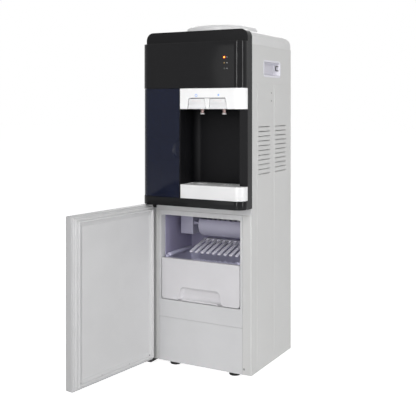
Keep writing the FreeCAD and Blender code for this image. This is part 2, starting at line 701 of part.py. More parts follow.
def bulge(name, x, z, inset="0", round_left=True, round_right=True, back=PLATE_FACE):
    """A panel that stands out of the plate, rounded at the cabinet's sides."""
    left = (f"{x[0]} + {inset}", f"{BULGE_FACE} + {inset}")
    right = (f"{x[1]} - {inset}", f"{BULGE_FACE} + {inset}")
    corner = (f"bulge_corner - {inset}",)
    return slab(name, "XY", [
        left + (corner if round_left else ()),
        right + (corner if round_right else ()),
        (right[0], back), (left[0], back),
    ], f"{z[0]} + {inset}", f"{z[1]} - {inset}")


def hollow_bulge(name, x, z, round_left=True, round_right=True, extra=()):
    """A bulging panel as an open-backed shell."""
    solid = bulge(name + "_outside", x, z, "0", round_left, round_right)
    hollow = bulge(name + "_inside", x, z, "plastic_wall", round_left, round_right, f"{PLATE_FACE} + 1")
    return cut(name, solid, [hollow, *extra])


def fascia_and_strip():
    """The upper fascia, with windows for the three lamps, and the strip under the tray."""
    levels = [f"({FASCIA_TOP} - lamp_drop - {k} * lamp_pitch)" for k in range(3)]
    windows = [cylinder(f"lamp_window_{k}", (LAMP_X, f"{BULGE_FACE} - 1", level), "lamp_radius + 0.1",
                        "plastic_wall + 2", "Y") for k, level in enumerate(levels)]
    publish(hollow_bulge("upper_fascia", (LEFT, RIGHT), (PANEL_TOP, FASCIA_TOP), extra=windows))
    lenses = [cylinder(f"lamp_lens_{k}", (LAMP_X, f"{BULGE_FACE} - 0.4", level), "lamp_radius",
                       "plastic_wall + 4", "Y")
              for k, level in enumerate(levels)]
    publish(group("indicator_lamps", lenses))
    publish(hollow_bulge("lower_strip", (LEFT, RIGHT), (PLATE_BOTTOM, STRIP_TOP)))


def recess_corners(grow_by="0"):
    """The key recess: wider at its bottom than at its top."""
    top, bottom = f"(tap_spacing / 2 + key_width / 2 + 1 + {grow_by})", \
        f"(tap_spacing / 2 + key_width / 2 + 7 + {grow_by})"
    low, high = f"{PANEL_BOTTOM} - 1", f"{PANEL_BOTTOM} + key_height + 2.5 + {grow_by}"
    return [(f"{TAP_MIDDLE} - {bottom}", low), (f"{TAP_MIDDLE} + {bottom}", low),
            (f"{TAP_MIDDLE} + {top}", high), (f"{TAP_MIDDLE} - {top}", high)]


def tap_panel():
    """The white panel that holds the two keys in a recess open at the bottom."""
    x = (ALCOVE_LEFT, RIGHT)
    z = (PANEL_BOTTOM, f"{PANEL_TOP} - seam")
    face, depth = BULGE_FACE, f"{BULGE_FACE} + recess_depth"
    hole = slab("tap_panel_hole", "XZ", recess_corners(), f"{face} - 1", depth)
    shell = hollow_bulge("tap_panel_shell", x, z, round_left=False, extra=[hole])
    wall = slab("tap_panel_recess_outside", "XZ",
                [(a, b.replace("- 1", "+ 0")) for a, b in recess_corners("1.5")],
                f"{face} + plastic_wall / 2", f"{depth} + 2")
    room = slab("tap_panel_recess_room", "XZ", recess_corners(), f"{face} - 2", depth)
    recess = cut("tap_panel_recess", wall, [room])
    post = slab("tap_panel_post", "XZ", [
        (f"{TAP_MIDDLE} - 4", f"{PANEL_BOTTOM} + 1"), (f"{TAP_MIDDLE} + 4", f"{PANEL_BOTTOM} + 1"),
        (f"{TAP_MIDDLE} + 7", f"{PANEL_BOTTOM} + key_height + 3.5"),
        (f"{TAP_MIDDLE} - 7", f"{PANEL_BOTTOM} + key_height + 3.5"),
    ], f"{face} + 1", f"{depth} + 1")
    bores = [cylinder("tap_panel_pin_hole", (f"{TAP_MIDDLE} - tap_spacing", key_axis()[0], key_axis()[1]),
                      "key_pin_radius", "2 * tap_spacing", "X")]
    whole = fuse("tap_panel_whole", [shell, recess, post])
    slots = [box(f"tap_panel_plunger_slot_{k}", (f"{tap_x(side)} - 4", f"{tap_x(side)} + 4"),
                 (f"{depth} - 1", f"{depth} + 4"), (f"{PANEL_BOTTOM} + 4", f"{PANEL_BOTTOM} + 18"))
             for k, side in enumerate((-1, 1))]
    publish(cut("tap_panel", whole, bores + slots))


def key_axis():
    """Height and depth of the pin that both keys turn on."""
    return f"({BULGE_FACE} + key_pin_setback)", f"({PANEL_BOTTOM} + key_height - key_pin_drop)"


def tap_x(side):
    """Where a tap stands; side is -1 for hot and 1 for cold."""
    return f"({TAP_MIDDLE} + {side} * tap_spacing / 2)"


def keys():
    """Two curved keys, each turning on a pin at its top. The pins are returned."""
    pin_y, pin_z = key_axis()
    pins = []
    for name, side in (("hot_key", -1), ("cold_key", 1)):
        middle_x = tap_x(side)
        x = (f"{middle_x} - key_width / 2", f"{middle_x} + key_width / 2")
        top, low = f"({PANEL_BOTTOM} + key_height)", f"({PANEL_BOTTOM} + 1.5)"
        face = f"({BULGE_FACE} + 1.5)"
        blade = slab(name + "_blade", "YZ", [
            (face, f"{top} - 5"), (f"{face} + 4", top), (f"{pin_y} + 4", top), (f"{pin_y} + 4", f"{top} - 9"),
            (f"{face} + 4", f"{top} - 11"), (f"{face} + 7.5", f"{low} + 7"), (f"{face} + 5", f"{low} + 3"),
            (f"{face} + 3", low), (f"{face} + 1.5", f"{low} + 0.5"), (f"{face} + 4", f"{low} + 8"),
            (f"{face} + 0.8", f"{top} - 13"),
        ], *x)
        bore = cylinder(name + "_bore", (f"{x[0]} - 1", pin_y, pin_z), "key_pin_radius + fit_gap",
                        "key_width + 2", "X")
        publish(cut(name, blade, [bore]))
        inner = f"{middle_x} - key_width / 2 - 2" if side > 0 else f"{middle_x} - key_width / 2 - 1.5"
        pins.append(cylinder(name + "_pin", (inner, pin_y, pin_z), "key_pin_radius", "key_width + 3.5", "X"))
    return pins


def taps():
    """The two valve bodies behind the keys, with their plungers, and the nozzles below."""
    y = f"({BULGE_FACE} + tap_setback)"
    valves, nozzles = [], []
    for name, side in (("hot_tap", -1), ("cold_tap", 1)):
        x = tap_x(side)
        barrel = cylinder(name + "_barrel", (x, y, f"{PANEL_BOTTOM} + 3"), "valve_radius", "valve_height")
        spout = cylinder(name + "_feed", (x, y, f"{PANEL_BOTTOM} + feed_height"), "feed_radius",
                         "feed_length", "Y")
        plunger = cylinder(name + "_plunger", (x, f"{BULGE_FACE} + plunger_lead", f"{PANEL_BOTTOM} + 11"),
                           "plunger_radius", "tap_setback - plunger_lead", "Y")
        valves.append(fuse(name, [barrel, spout, plunger]))
        nozzles.append(tube(name + "_nozzle", (x, y, f"{PANEL_BOTTOM} - nozzle_drop"), "nozzle_radius",
                            "nozzle_bore", "nozzle_drop + 3"))
    publish(group("tap_valves", valves))
    publish(group("tap_nozzles", nozzles))


def alcove_liner():
    """The dark lining of the tap alcove, with round back corners and holes for the nozzles."""
    wall = "plastic_wall"
    front = f"({PLATE_FACE} + {wall})"
    back = f"({FRONT} + alcove_reach)"
    body = slab("alcove_liner_shell", "XY", [
        (CUP_RIGHT, front), (f"{ALCOVE_RIGHT} + {wall}", front),
        (f"{ALCOVE_RIGHT} + {wall}", f"{back} + {wall}", f"alcove_corner + {wall}"),
        (CUP_RIGHT, f"{back} + {wall}", f"alcove_corner + {wall}"),
    ], STRIP_TOP, f"{PANEL_BOTTOM} + 2")
    grow(body, "XY", rectangle((CUP_RIGHT, ALCOVE_LEFT), (f"{BULGE_FACE} + cup_door_gap", f"{front} + 1")),
         STRIP_TOP, f"{PANEL_BOTTOM} - seam")
    carve(body, "XY", [
        (ALCOVE_LEFT, f"{front} - 1"), (ALCOVE_RIGHT, f"{front} - 1"),
        (ALCOVE_RIGHT, back, "alcove_corner"), (ALCOVE_LEFT, back, "alcove_corner"),
    ], f"{STRIP_TOP} + {wall}", PANEL_BOTTOM)
    holes = [cylinder(f"alcove_nozzle_hole_{k}", (tap_x(side), f"{BULGE_FACE} + tap_setback", PANEL_BOTTOM),
                      "nozzle_radius + 2", "10") for k, side in enumerate((-1, 1))]
    publish(cut("alcove_liner", body, holes))


def cup_cabinet():
    """The box behind the cup door, and the pierced shelf that cups stand on."""
    wall = "sheet_wall"
    x = (CUP_LEFT, f"{CUP_RIGHT} - seam")
    y = (f"{PLATE_FACE} + plastic_wall", f"{FRONT} + cup_reach")
    z = (f"{STRIP_TOP} + plastic_wall", f"{PANEL_TOP} - 2 * plastic_wall")
    shell = box("cup_cabinet_block", x, y, z)
    room = box("cup_cabinet_room", (f"{x[0]} + {wall}", f"{x[1]} - {wall}"), (f"{y[0]} - 1", f"{y[1]} - {wall}"),
               (f"{z[0]} + {wall}", f"{z[1]} - {wall}"))
    publish(cut("cup_cabinet", shell, [room]))
    level = f"({STRIP_TOP} + shelf_height)"
    plate = box("cup_shelf_plate", (f"{x[0]} + {wall}", f"{x[1]} - {wall}"),
                (f"{y[0]} + 2", f"{y[1]} - {wall}"), (level, f"{level} + 2"))
    centre_x, centre_y = f"({x[0]} + {x[1]}) / 2", f"({y[0]} + {y[1]}) / 2"
    holes = []
    for k in range(12):
        turn = 360 / 12 * k
        at = (f"{centre_x} + 20 * cos({turn:g} deg)", f"{centre_y} + 20 * sin({turn:g} deg)", f"{level} - 1")
        holes.append(cylinder(f"cup_shelf_hole_{k}", at, "shelf_drain", "4"))
    holes.append(cylinder("cup_shelf_middle_hole", (centre_x, centre_y, f"{level} - 1"), "shelf_hole", "4"))
    publish(cut("cup_shelf", plate, holes))


def cup_pivot():
    """Where the cup door's pins stand."""
    return f"({LEFT} + door_margin + plastic_wall / 2)", f"({PLATE_FACE} - seam - plastic_wall / 2 - 0.7)"


def cup_door():
    """The tinted door over the cups: one bent sheet with a finger dimple. Its pins are returned."""
    gap = "cup_door_gap"
    wall = "plastic_wall"
    left, right = f"({LEFT} + door_margin)", f"({CUP_RIGHT} - seam)"
    face, end = f"({BULGE_FACE} + {gap})", f"({PLATE_FACE} - seam - 0.7)"
    low, high = f"({STRIP_TOP} + seam)", f"({PANEL_TOP} - seam)"
    corner = f"(bulge_corner - {gap})"
    body = slab("cup_door_sheet", "XY", [
        (left, end), (left, face, corner), (right, face), (right, f"{face} + {wall}"),
        (f"{left} + {wall}", f"{face} + {wall}", f"{corner} - {wall}"), (f"{left} + {wall}", end),
    ], low, high)
    dimple = cylinder("cup_door_dimple", (f"{right} + 4", f"{face} - 1", f"{STRIP_TOP} + dimple_height"),
                      "dimple_radius", "dimple_depth + 1", "Y")
    pivot_x, pivot_y = cup_pivot()
    sockets = [cylinder(f"cup_door_socket_{k}", (pivot_x, pivot_y, start), "cup_pin_radius + fit_gap", "8")
               for k, start in enumerate((f"{low} - 1", f"{high} - 7"))]
    publish(cut("cup_door", body, [dimple, *sockets]))
    pins = [cylinder("cup_door_pin_low", (pivot_x, pivot_y, STRIP_TOP), "cup_pin_radius", "seam + 6"),
            cylinder("cup_door_pin_high", (pivot_x, pivot_y, f"{high} - 6"), "cup_pin_radius", "6 + seam")]
    return pins


def drip_tray():
    """The white tray that slides into the alcove, and the grille with oval slots that lies inside its rim."""
    wall = "plastic_wall"
    x = (f"{ALCOVE_LEFT} + tray_gap", f"{ALCOVE_RIGHT} - tray_gap")
    floor = f"{STRIP_TOP} + {wall} + tray_gap"
    ledge = f"{TRAY_TOP} - grille_thickness - grille_gap"
    back = f"({FRONT} + alcove_reach - tray_back_gap)"

    def inside(name, inset, low, high):
        """A slab that keeps an inset from the tray's edges."""
        return slab(name, "XY", [
            (f"{x[0]} + {inset}", f"{BULGE_FACE} + {inset}"), (f"{x[1]} - {inset}", f"{BULGE_FACE} + {inset}"),
            (f"{x[1]} - {inset}", f"{back} - {inset}", f"alcove_corner - {inset}"),
            (f"{x[0]} + {inset}", f"{back} - {inset}", f"alcove_corner - {inset}"),
        ], low, high)

    tub = slab("drip_tray_tub", "XY", [
        (x[0], f"{PLATE_FACE} - 2"), (x[1], f"{PLATE_FACE} - 2"), (x[1], back, "alcove_corner"),
        (x[0], back, "alcove_corner"),
    ], floor, TRAY_TOP)
    nose = bulge("drip_tray_nose", (x[0], RIGHT), (f"{STRIP_TOP} + seam", TRAY_TOP),
                 round_left=False, back=f"{PLATE_FACE} - seam")
    room = inside("drip_tray_room", wall, f"{floor} + {wall}", f"{TRAY_TOP} + 1")
    rebate = inside("drip_tray_rebate", "grille_rim", ledge, f"{TRAY_TOP} + 1")
    publish(cut("drip_tray", fuse("drip_tray_solid", [tub, nose]), [room, rebate]))

    plate = inside("drip_grille", "(grille_rim + grille_gap)", f"{TRAY_TOP} - grille_thickness", TRAY_TOP)
    middle = f"({PLATE_FACE} + grille_slot_back)"
    for k, share in enumerate((-0.45, -0.29, -0.233, -0.175, 0.175, 0.233, 0.29, 0.45)):
        centre = f"({TAP_MIDDLE} + {share} * alcove_width)"
        across = (f"{centre} - grille_slot_width / 2", f"{centre} + grille_slot_width / 2")
        along = (f"{middle} - grille_slot_length / 2", f"{middle} + grille_slot_length / 2")
        carve(plate, "XY", rectangle(across, along, "grille_slot_width / 2 - 0.5"),
              f"{TRAY_TOP} - grille_thickness - 1", f"{TRAY_TOP} + 1")
    publish(plate)


# --------------------------------------------------------------- the ice bay

def kick_panel():
    """The lower front panel, and the rail that crosses the front above the ice bay."""
    width = "(cabinet_width / 2 - side_flange - seam)"
    shell = box("kick_panel_block", (f"-{width}", width), (LOWER_FACE, FRONT), ("floor_gap", f"{KICK_TOP} - seam"))
    inside = box("kick_panel_inside", (f"-{width} + sheet_wall", f"{width} - sheet_wall"),
                 (f"{LOWER_FACE} + sheet_wall", f"{FRONT} + 1"), ("floor_gap + sheet_wall", KICK_TOP))
    publish(cut("kick_panel", shell, [inside]))
    publish(box("cross_rail", (LEFT, RIGHT), (LOWER_FACE, f"{FRONT} - seam"), (f"{BAY_TOP} + seam", PLATE_BOTTOM)))


def front_frame():
    """The white frame around the ice bay's opening."""
    width = "(cabinet_width / 2 - side_flange - seam)"
    body = slab("front_frame", "XZ", rectangle((f"-{width}", width), (KICK_TOP, BAY_TOP)),
                LOWER_FACE, f"{FRONT} + frame_depth")
    carve(body, "XZ", rectangle(("-bay_width / 2", "bay_width / 2"), (OPENING_BOTTOM, OPENING_TOP)),
          f"{LOWER_FACE} - 1", f"{FRONT} + frame_depth + 1")
    publish(body)


LINE_Y = f"({BACK} - sheet_wall - 14)"
BAY_FRONT = f"({FRONT} + frame_depth)"
BAY_BACK = f"({FRONT} + bay_reach)"
BAY_HALF = "(bay_width / 2 - 1.5)"
BAY_FLOOR = f"({OPENING_BOTTOM} - 4)"
BAY_CEILING = f"({OPENING_TOP} + 5)"
BIN_HALF = f"({BAY_HALF} - 6.5)"
BIN_FLOOR = f"({BAY_FLOOR} + 8)"
BIN_TOP = f"({BIN_FLOOR} + bin_height)"


def ice_liner():
    """The white lining of the ice bay with the bin's runners, and the deck over it. Returns the foam."""
    wall = "sheet_wall"
    shell = box("ice_liner_block", (f"-{BAY_HALF} - {wall}", f"{BAY_HALF} + {wall}"),
                (BAY_FRONT, f"{BAY_BACK} + {wall}"), (f"{BAY_FLOOR} - {wall}", f"{BAY_CEILING} + {wall}"))
    room = box("ice_liner_room", (f"-{BAY_HALF}", BAY_HALF), (f"{BAY_FRONT} - 1", BAY_BACK),
               (BAY_FLOOR, BAY_CEILING))
    runners = [box(f"ice_liner_runner_{k}",
                   sorted((f"{side} * {BAY_HALF}", f"{side} * ({BAY_HALF} - 22)"), key=value),
                   (BAY_FRONT, f"{BAY_BACK} - 6"), (BAY_FLOOR, f"{BIN_FLOOR} - 0.3"))
               for k, side in enumerate((-1, 1))]
    publish(fuse("ice_liner", [cut("ice_liner_shell", shell, [room]), *runners]))
    foam = box("insulation_block", (f"{INNER_LEFT} + seam", f"{INNER_RIGHT} - seam"),
               (BAY_FRONT, f"{BAY_BACK} + {wall} + 20"), (f"{BAY_FLOOR} - {wall} - 14", f"{BAY_TOP} - 3"))
    core = box("insulation_core", (f"-{BAY_HALF} - {wall}", f"{BAY_HALF} + {wall}"),
               (f"{BAY_FRONT} - 1", f"{BAY_BACK} + {wall}"),
               (f"{BAY_FLOOR} - {wall}", f"{BAY_CEILING} + {wall}"))
    bay_foam = cut("bay_insulation", foam, [core])
    publish(box("divider_deck", (INNER_LEFT, INNER_RIGHT), (BAY_FRONT, f"{LINE_Y} - 6"),
                (f"{BAY_TOP} - 3", f"{BAY_TOP} - 1")))
    return [bay_foam]


TRAY_Y = f"({FRONT} + 96)"
TRAY_Z = f"({BAY_CEILING} - tray_radius - 3)"
TRAY_LEFT = f"({BAY_HALF} - 4 - tray_length)"
GEARBOX_GAP = "(0.12 * bay_width)"


def ice_maker():
    """The tilting water tray, the freezing fingers over it and the gearbox that turns it."""
    end_wall = "3"
    x = (TRAY_LEFT, f"{TRAY_LEFT} + tray_length")
    shell = cylinder("water_tray_shell", (x[0], TRAY_Y, TRAY_Z), "tray_radius", "tray_length", "X")
    room = cylinder("water_tray_room", (f"{x[0]} + {end_wall}", TRAY_Y, TRAY_Z), "tray_radius - 2.5",
                    f"tray_length - 2 * {end_wall}", "X")
    mouth = slab("water_tray_mouth", "YZ", [
        (TRAY_Y, TRAY_Z), (f"{TRAY_Y} + tray_radius + 1", TRAY_Z),
        (f"{TRAY_Y} + tray_radius + 1", f"{TRAY_Z} + tray_radius + 1"),
        (f"{TRAY_Y} - tray_radius - 1", f"{TRAY_Z} + tray_radius + 1"),
        (f"{TRAY_Y} - tray_radius - 1", f"{TRAY_Z} + tray_radius * 0.6"),
    ], f"{x[0]} + {end_wall}", f"{x[1]} - {end_wall}")
    hollow = cut("water_tray_hollow", shell, [room, mouth])
    left_pin = cylinder("water_tray_drive_pin", (f"{x[0]} - {GEARBOX_GAP} - 1", TRAY_Y, TRAY_Z), "4",
                        f"{GEARBOX_GAP} + 1.5", "X")
    right_pin = cylinder("water_tray_idle_pin", (f"{x[1]} - 0.5", TRAY_Y, TRAY_Z), "4", "4", "X")
    publish(fuse("water_tray", [hollow, left_pin, right_pin]))

    bar_z = f"({TRAY_Z} + 20)"
    bar = cylinder("evaporator_bar", (f"{x[0]} + 12", TRAY_Y, bar_z), "5", "tray_length - 24", "X")
    fingers = []
    for k in range(9):
        at = (f"{x[0]} + 16 + {k} * (tray_length - 32) / 8", TRAY_Y, f"{TRAY_Z} - 16")
        fingers.append(cylinder(f"evaporator_finger_{k}", at, "finger_radius", "36"))
    posts = [cylinder(f"evaporator_post_{k}", (at, TRAY_Y, bar_z), "4", f"{BAY_CEILING} - {bar_z}")
             for k, at in enumerate((f"{x[0]} + 24", f"{x[1]} - 24"))]
    publish(fuse("evaporator", [bar, *fingers, *posts]))

    case = box("ice_gearbox_case", (f"-{BAY_HALF} + 0.052 * bay_width", f"{TRAY_LEFT} - {GEARBOX_GAP}"),
               (f"{TRAY_Y} - 12", BAY_BACK), (f"{TRAY_Z} - 34", BAY_CEILING))
    bore = cylinder("ice_gearbox_bore", (f"{TRAY_LEFT} - {GEARBOX_GAP} - 2", TRAY_Y, TRAY_Z), "4 + fit_gap", "10",
                    "X")
    publish(cut("ice_gearbox", case, [bore]))


def ice_slide():
    """The sloping ribs that guide the ice forward into the bin, carried by a rail on the back wall."""
    foot = f"({BIN_TOP} + 2)"
    low = Vector(0, value(f"{FRONT} + 60"), value(foot))
    high = Vector(0, value(f"{FRONT} + 150"), value(f"{foot} + slide_rise"))
    slope = math.degrees(math.atan2(high.z - low.z, high.y - low.y))
    ribs = []
    for k in range(int(value("rib_count"))):
        rib = DOC.addObject("Part::Box", f"ice_slide_rib_{k}")
        bind(rib, "Length", "rib_width")
        bind(rib, "Width", f"{high.distanceToPoint(low):.4f} + 4")
        bind(rib, "Height", "rib_thickness")
        rib.Placement = Placement(Vector(), Rotation(Vector(1, 0, 0), slope))
        place(rib, f"{BAY_HALF} - 28 - {k} * rib_pitch", f"{FRONT} + 60", foot)
        ribs.append(rib)
    rail = box("ice_slide_rail", (f"{BAY_HALF} - 28 - rib_pitch * (rib_count - 1)", BAY_HALF),
               (f"{FRONT} + 148", BAY_BACK), (f"{foot} + slide_rise - 5", f"{foot} + slide_rise + 7"))
    publish(fuse("ice_slide", [*ribs, rail]))


def ice_bin():
    """The bin that slides out forwards, and its front panel."""
    wall = "bin_wall"
    y = (f"{FRONT} + 10", f"{BAY_BACK} - 13")
    z = (BIN_FLOOR, BIN_TOP)
    tub = slab("ice_bin_tub", "XY", [
        (f"-{BIN_HALF}", y[0]), (BIN_HALF, y[0]), (BIN_HALF, y[1], "12"), (f"-{BIN_HALF}", y[1], "12"),
    ], *z)
    carve(tub, "XY", [
        (f"-{BIN_HALF} + {wall}", f"{y[0]} + {wall}"), (f"{BIN_HALF} - {wall}", f"{y[0]} + {wall}"),
        (f"{BIN_HALF} - {wall}", f"{y[1]} - {wall}", f"12 - {wall}"),
        (f"-{BIN_HALF} + {wall}", f"{y[1]} - {wall}", f"12 - {wall}"),
    ], f"{z[0]} + {wall}", f"{z[1]} + 1")
    low_walls = [box("ice_bin_low_back", (f"-{BIN_HALF} + 8", f"{BIN_HALF} - 8"), (f"{y[1]} - 14", f"{y[1]} + 1"),
                     (f"{z[1]} - 11", f"{z[1]} + 1")),
                 box("ice_bin_low_front", (f"-{BIN_HALF} + 8", f"{BIN_HALF} - 8"), (f"{y[0]} - 1", f"{y[0]} + 14"),
                     (f"{z[1]} - 11", f"{z[1]} + 1"))]
    shell = cut("ice_bin_shell", tub, low_walls)
    rims = [box(f"ice_bin_rim_{k}", sorted((f"{side} * ({BIN_HALF} + 3)", f"{side} * ({BIN_HALF} - 6)"), key=value),
                (f"{y[0]} + 14", f"{y[1]} - 3"), (f"{z[1]} - 6", f"{z[1]} + 3")) for k, side in enumerate((-1, 1))]
    baffle = box("ice_bin_baffle", (f"-{BIN_HALF} + 60", f"{BIN_HALF} - 1"), (f"{FRONT} + 65", f"{FRONT} + 68"),
                 (f"{z[0]} + 1", f"{z[1]} - 14"))
    whole = fuse("ice_bin_whole", [shell, *rims, baffle])
    scallops = [cylinder(f"ice_bin_scallop_{k}", (f"-{BIN_HALF} + 70 + {k} * 18", f"{FRONT} + 64", f"{z[1]} - 11"),
                         "6", "5", "Y") for k in range(10)]
    publish(cut("ice_bin", whole, scallops))

    half = "(bay_width / 2 - 2)"
    top = f"({OPENING_BOTTOM} + 2 + bin_front_height)"
    front = slab("ice_bin_panel", "XZ", [
        (f"-{half}", f"{OPENING_BOTTOM} + 2", "9"), (half, f"{OPENING_BOTTOM} + 2", "9"),
        (half, top), (f"-{half}", top),
    ], LOWER_FACE, f"{FRONT} + 10")
    carve(front, "XZ", rectangle((f"-{half} + {wall}", f"{half} - {wall}"),
                                 (f"{OPENING_BOTTOM} + 2 + {wall}", f"{top} - {wall}"), "6"),
          f"{LOWER_FACE} + {wall}", f"{FRONT} + 11")
    grip_low = f"({OPENING_BOTTOM} + 7)"
    grip = [("-grip_bottom_width / 2", grip_low), ("grip_bottom_width / 2", grip_low),
            ("grip_top_width / 2", f"{grip_low} + grip_height"), ("-grip_top_width / 2", f"{grip_low} + grip_height")]
    outer_grip = [("-grip_bottom_width / 2 - 3", f"{grip_low} - 2"), ("grip_bottom_width / 2 + 3", f"{grip_low} - 2"),
                  ("grip_top_width / 2 + 3", f"{grip_low} + grip_height + 3"),
                  ("-grip_top_width / 2 - 3", f"{grip_low} + grip_height + 3")]
    pocket_block = slab("ice_bin_grip_block", "XZ", outer_grip, f"{LOWER_FACE} + 1", f"{FRONT} + 10")
    pocket_room = slab("ice_bin_grip_room", "XZ", grip, f"{LOWER_FACE} - 1", f"{LOWER_FACE} + grip_depth - 3")
    publish(cut("ice_bin_front", fuse("ice_bin_front_solid", [front, pocket_block]), [pocket_room]))


# ------------------------------------------------------------ the lower door

PIVOT_X = f"({LEFT} + pivot_inset)"
PIVOT_Y = f"({FRONT} - pivot_lead)"
DOOR_LEFT = f"({LEFT} + door_margin)"
DOOR_RIGHT = f"({RIGHT} - door_margin)"
DOOR_BOTTOM = "(floor_gap + door_lift)"
DOOR_TOP = f"({PLATE_BOTTOM} - door_gap)"
DOOR_BACK = f"({LOWER_FACE} - gasket_gap - gasket_depth - door_liner_depth)"
DOOR_FACE = f"({DOOR_BACK} - door_shell_depth)"


def swing(item):
    """Turn a door piece, modelled closed, to where the door stands open."""
    pivot = Vector(value(PIVOT_X), value(PIVOT_Y), 0)
    turn = Rotation(Vector(0, 0, 1), -value("door_open_angle"))
    item.Placement = Placement(pivot - turn.multVec(pivot), turn)
    return item


def door_frame_corners(inset, radius=None):
    """A rectangle set in from the door's edge, seen from the front."""
    return rectangle((f"{DOOR_LEFT} + {inset}", f"{DOOR_RIGHT} - {inset}"),
                     (f"{DOOR_BOTTOM} + {inset}", f"{DOOR_TOP} - {inset}"), radius)


def door():
    """Shell, foam core, liner, gasket and the two hinges."""
    wall = "sheet_wall"
    shell = slab("door_shell", "XZ", door_frame_corners("0"), DOOR_FACE, DOOR_BACK)
    carve(shell, "XZ", door_frame_corners(wall), f"{DOOR_FACE} + {wall}", f"{DOOR_BACK} + 1")
    for bottom in (True, False):
        start = f"{DOOR_BOTTOM} - 1" if bottom else f"{DOOR_TOP} - {wall} - 1"
        socket = shell.newObject("PartDesign::Pocket", "door_shell_socket")
        sketch = new_sketch(shell, "XY", f"{start} + {wall} + 2")
        circle(sketch, PIVOT_X, PIVOT_Y, "hinge_pin_radius + fit_gap")
        socket.Profile = sketch
        bind(socket, "Length", f"{wall} + 2")
        shell.Tip = socket
    publish(swing(shell))

    liner = slab("door_liner", "XZ", door_frame_corners(wall), f"{DOOR_BACK} - {wall}", DOOR_BACK)
    grow(liner, "XZ", door_frame_corners("door_liner_inset"), DOOR_BACK, f"{DOOR_BACK} + door_liner_depth")
    carve(liner, "XZ", door_frame_corners("door_pad_inset"), f"{DOOR_BACK} + 4", f"{DOOR_BACK} + door_liner_depth")
    publish(swing(liner))

    core = box("door_core_block", (f"{DOOR_LEFT} + {wall}", f"{DOOR_RIGHT} - {wall}"),
               (f"{DOOR_FACE} + {wall}", f"{DOOR_BACK} - {wall}"),
               (f"{DOOR_BOTTOM} + {wall}", f"{DOOR_TOP} - {wall}"))
    bores = [cylinder(f"door_core_bore_{k}", (PIVOT_X, PIVOT_Y, start), "hinge_pin_radius + 1.5", "24")
             for k, start in enumerate((DOOR_BOTTOM, f"{DOOR_TOP} - 24"))]
    publish(swing(cut("door_core", core, bores)))

    seat = f"({DOOR_BACK} + door_liner_depth)"
    ring = slab("door_gasket", "XZ", door_frame_corners("gasket_inset", "6"), seat, f"{seat} + gasket_depth")
    carve(ring, "XZ", door_frame_corners("(gasket_inset + gasket_width)"), f"{seat} - 1", f"{seat} + gasket_depth + 1")
    publish(swing(ring))

    pin = "hinge_pin_radius"
    low_plate = box("hinge_lower_plate", (f"{PIVOT_X} - 8", f"{PIVOT_X} + 10"), (f"{PIVOT_Y} - 8", f"{FRONT} + 22"),
                    ("floor_gap - hinge_plate", "floor_gap"))
    low_pin = cylinder("hinge_lower_pin", (PIVOT_X, PIVOT_Y, "floor_gap - 1"), pin, "door_lift + 16")
    lower = fuse("hinge_lower", [low_plate, low_pin])
    high_plate = box("hinge_upper_plate", (f"{PIVOT_X} - 8", f"{PIVOT_X} + 10"), (f"{PIVOT_Y} - 8", LOWER_FACE),
                     (f"{DOOR_TOP} + 0.5", f"{DOOR_TOP} + 0.5 + hinge_plate"))
    high_leaf = box("hinge_upper_leaf", (f"{PIVOT_X} - 8", f"{PIVOT_X} + 10"), (f"{LOWER_FACE} - 2", LOWER_FACE),
                    (f"{DOOR_TOP} - 12", f"{DOOR_TOP} + 0.5 + hinge_plate"))
    high_pin = cylinder("hinge_upper_pin", (PIVOT_X, PIVOT_Y, f"{DOOR_TOP} - 16"), pin, "18")
    upper = fuse("hinge_upper", [high_plate, high_leaf, high_pin])
    publish(group("door_hinges", [lower, upper]))


# ----------------------------------------------------- water and cooling parts

COLD_BOTTOM = f"({PANEL_TOP} + jacket_wall + 1)"
HOT_X = f"({INNER_LEFT} + hot_tank_radius + 36)"
HOT_Y = f"({BACK} - hot_tank_radius - 22)"
HOT_BOTTOM = f"({BAY_TOP} + 60)"


def tanks():
    """The cold tank under the bottle seat with its foam jacket, and the hot tank below it."""
    shell = cylinder("cold_tank_shell", ("0", SEAT_Y, COLD_BOTTOM), "cold_tank_radius", "cold_tank_height")
    room = cylinder("cold_tank_room", ("0", SEAT_Y, f"{COLD_BOTTOM} + 2"), "cold_tank_radius - 2",
                    "cold_tank_height")
    publish(cut("cold_tank", shell, [room]))
    coat = cylinder("cold_jacket_coat", ("0", SEAT_Y, f"{COLD_BOTTOM} - jacket_wall"),
                    "cold_tank_radius + jacket_wall", "cold_tank_height + jacket_wall")
    core = cylinder("cold_jacket_core", ("0", SEAT_Y, COLD_BOTTOM), "cold_tank_radius", "cold_tank_height + 1")
    jacket = cut("cold_jacket", coat, [core])

    drum = cylinder("hot_tank_drum", (HOT_X, HOT_Y, HOT_BOTTOM), "hot_tank_radius", "hot_tank_height")
    band = tube("hot_tank_band", (HOT_X, HOT_Y, f"{HOT_BOTTOM} + 40"), "hot_tank_radius + 3",
                "hot_tank_radius - 1", "22")
    neck = cylinder("hot_tank_neck", (HOT_X, HOT_Y, f"{HOT_BOTTOM} + hot_tank_height"), "8", "8")
    legs = [box(f"hot_tank_leg_{k}", (f"{HOT_X} + {dx} - 6", f"{HOT_X} + {dx} + 6"), (f"{HOT_Y} - 8", f"{HOT_Y} + 8"),
                (f"{BAY_TOP} - 1", HOT_BOTTOM)) for k, dx in enumerate((-28, 28))]
    publish(fuse("hot_tank", [drum, band, neck, *legs]))
    return [jacket]


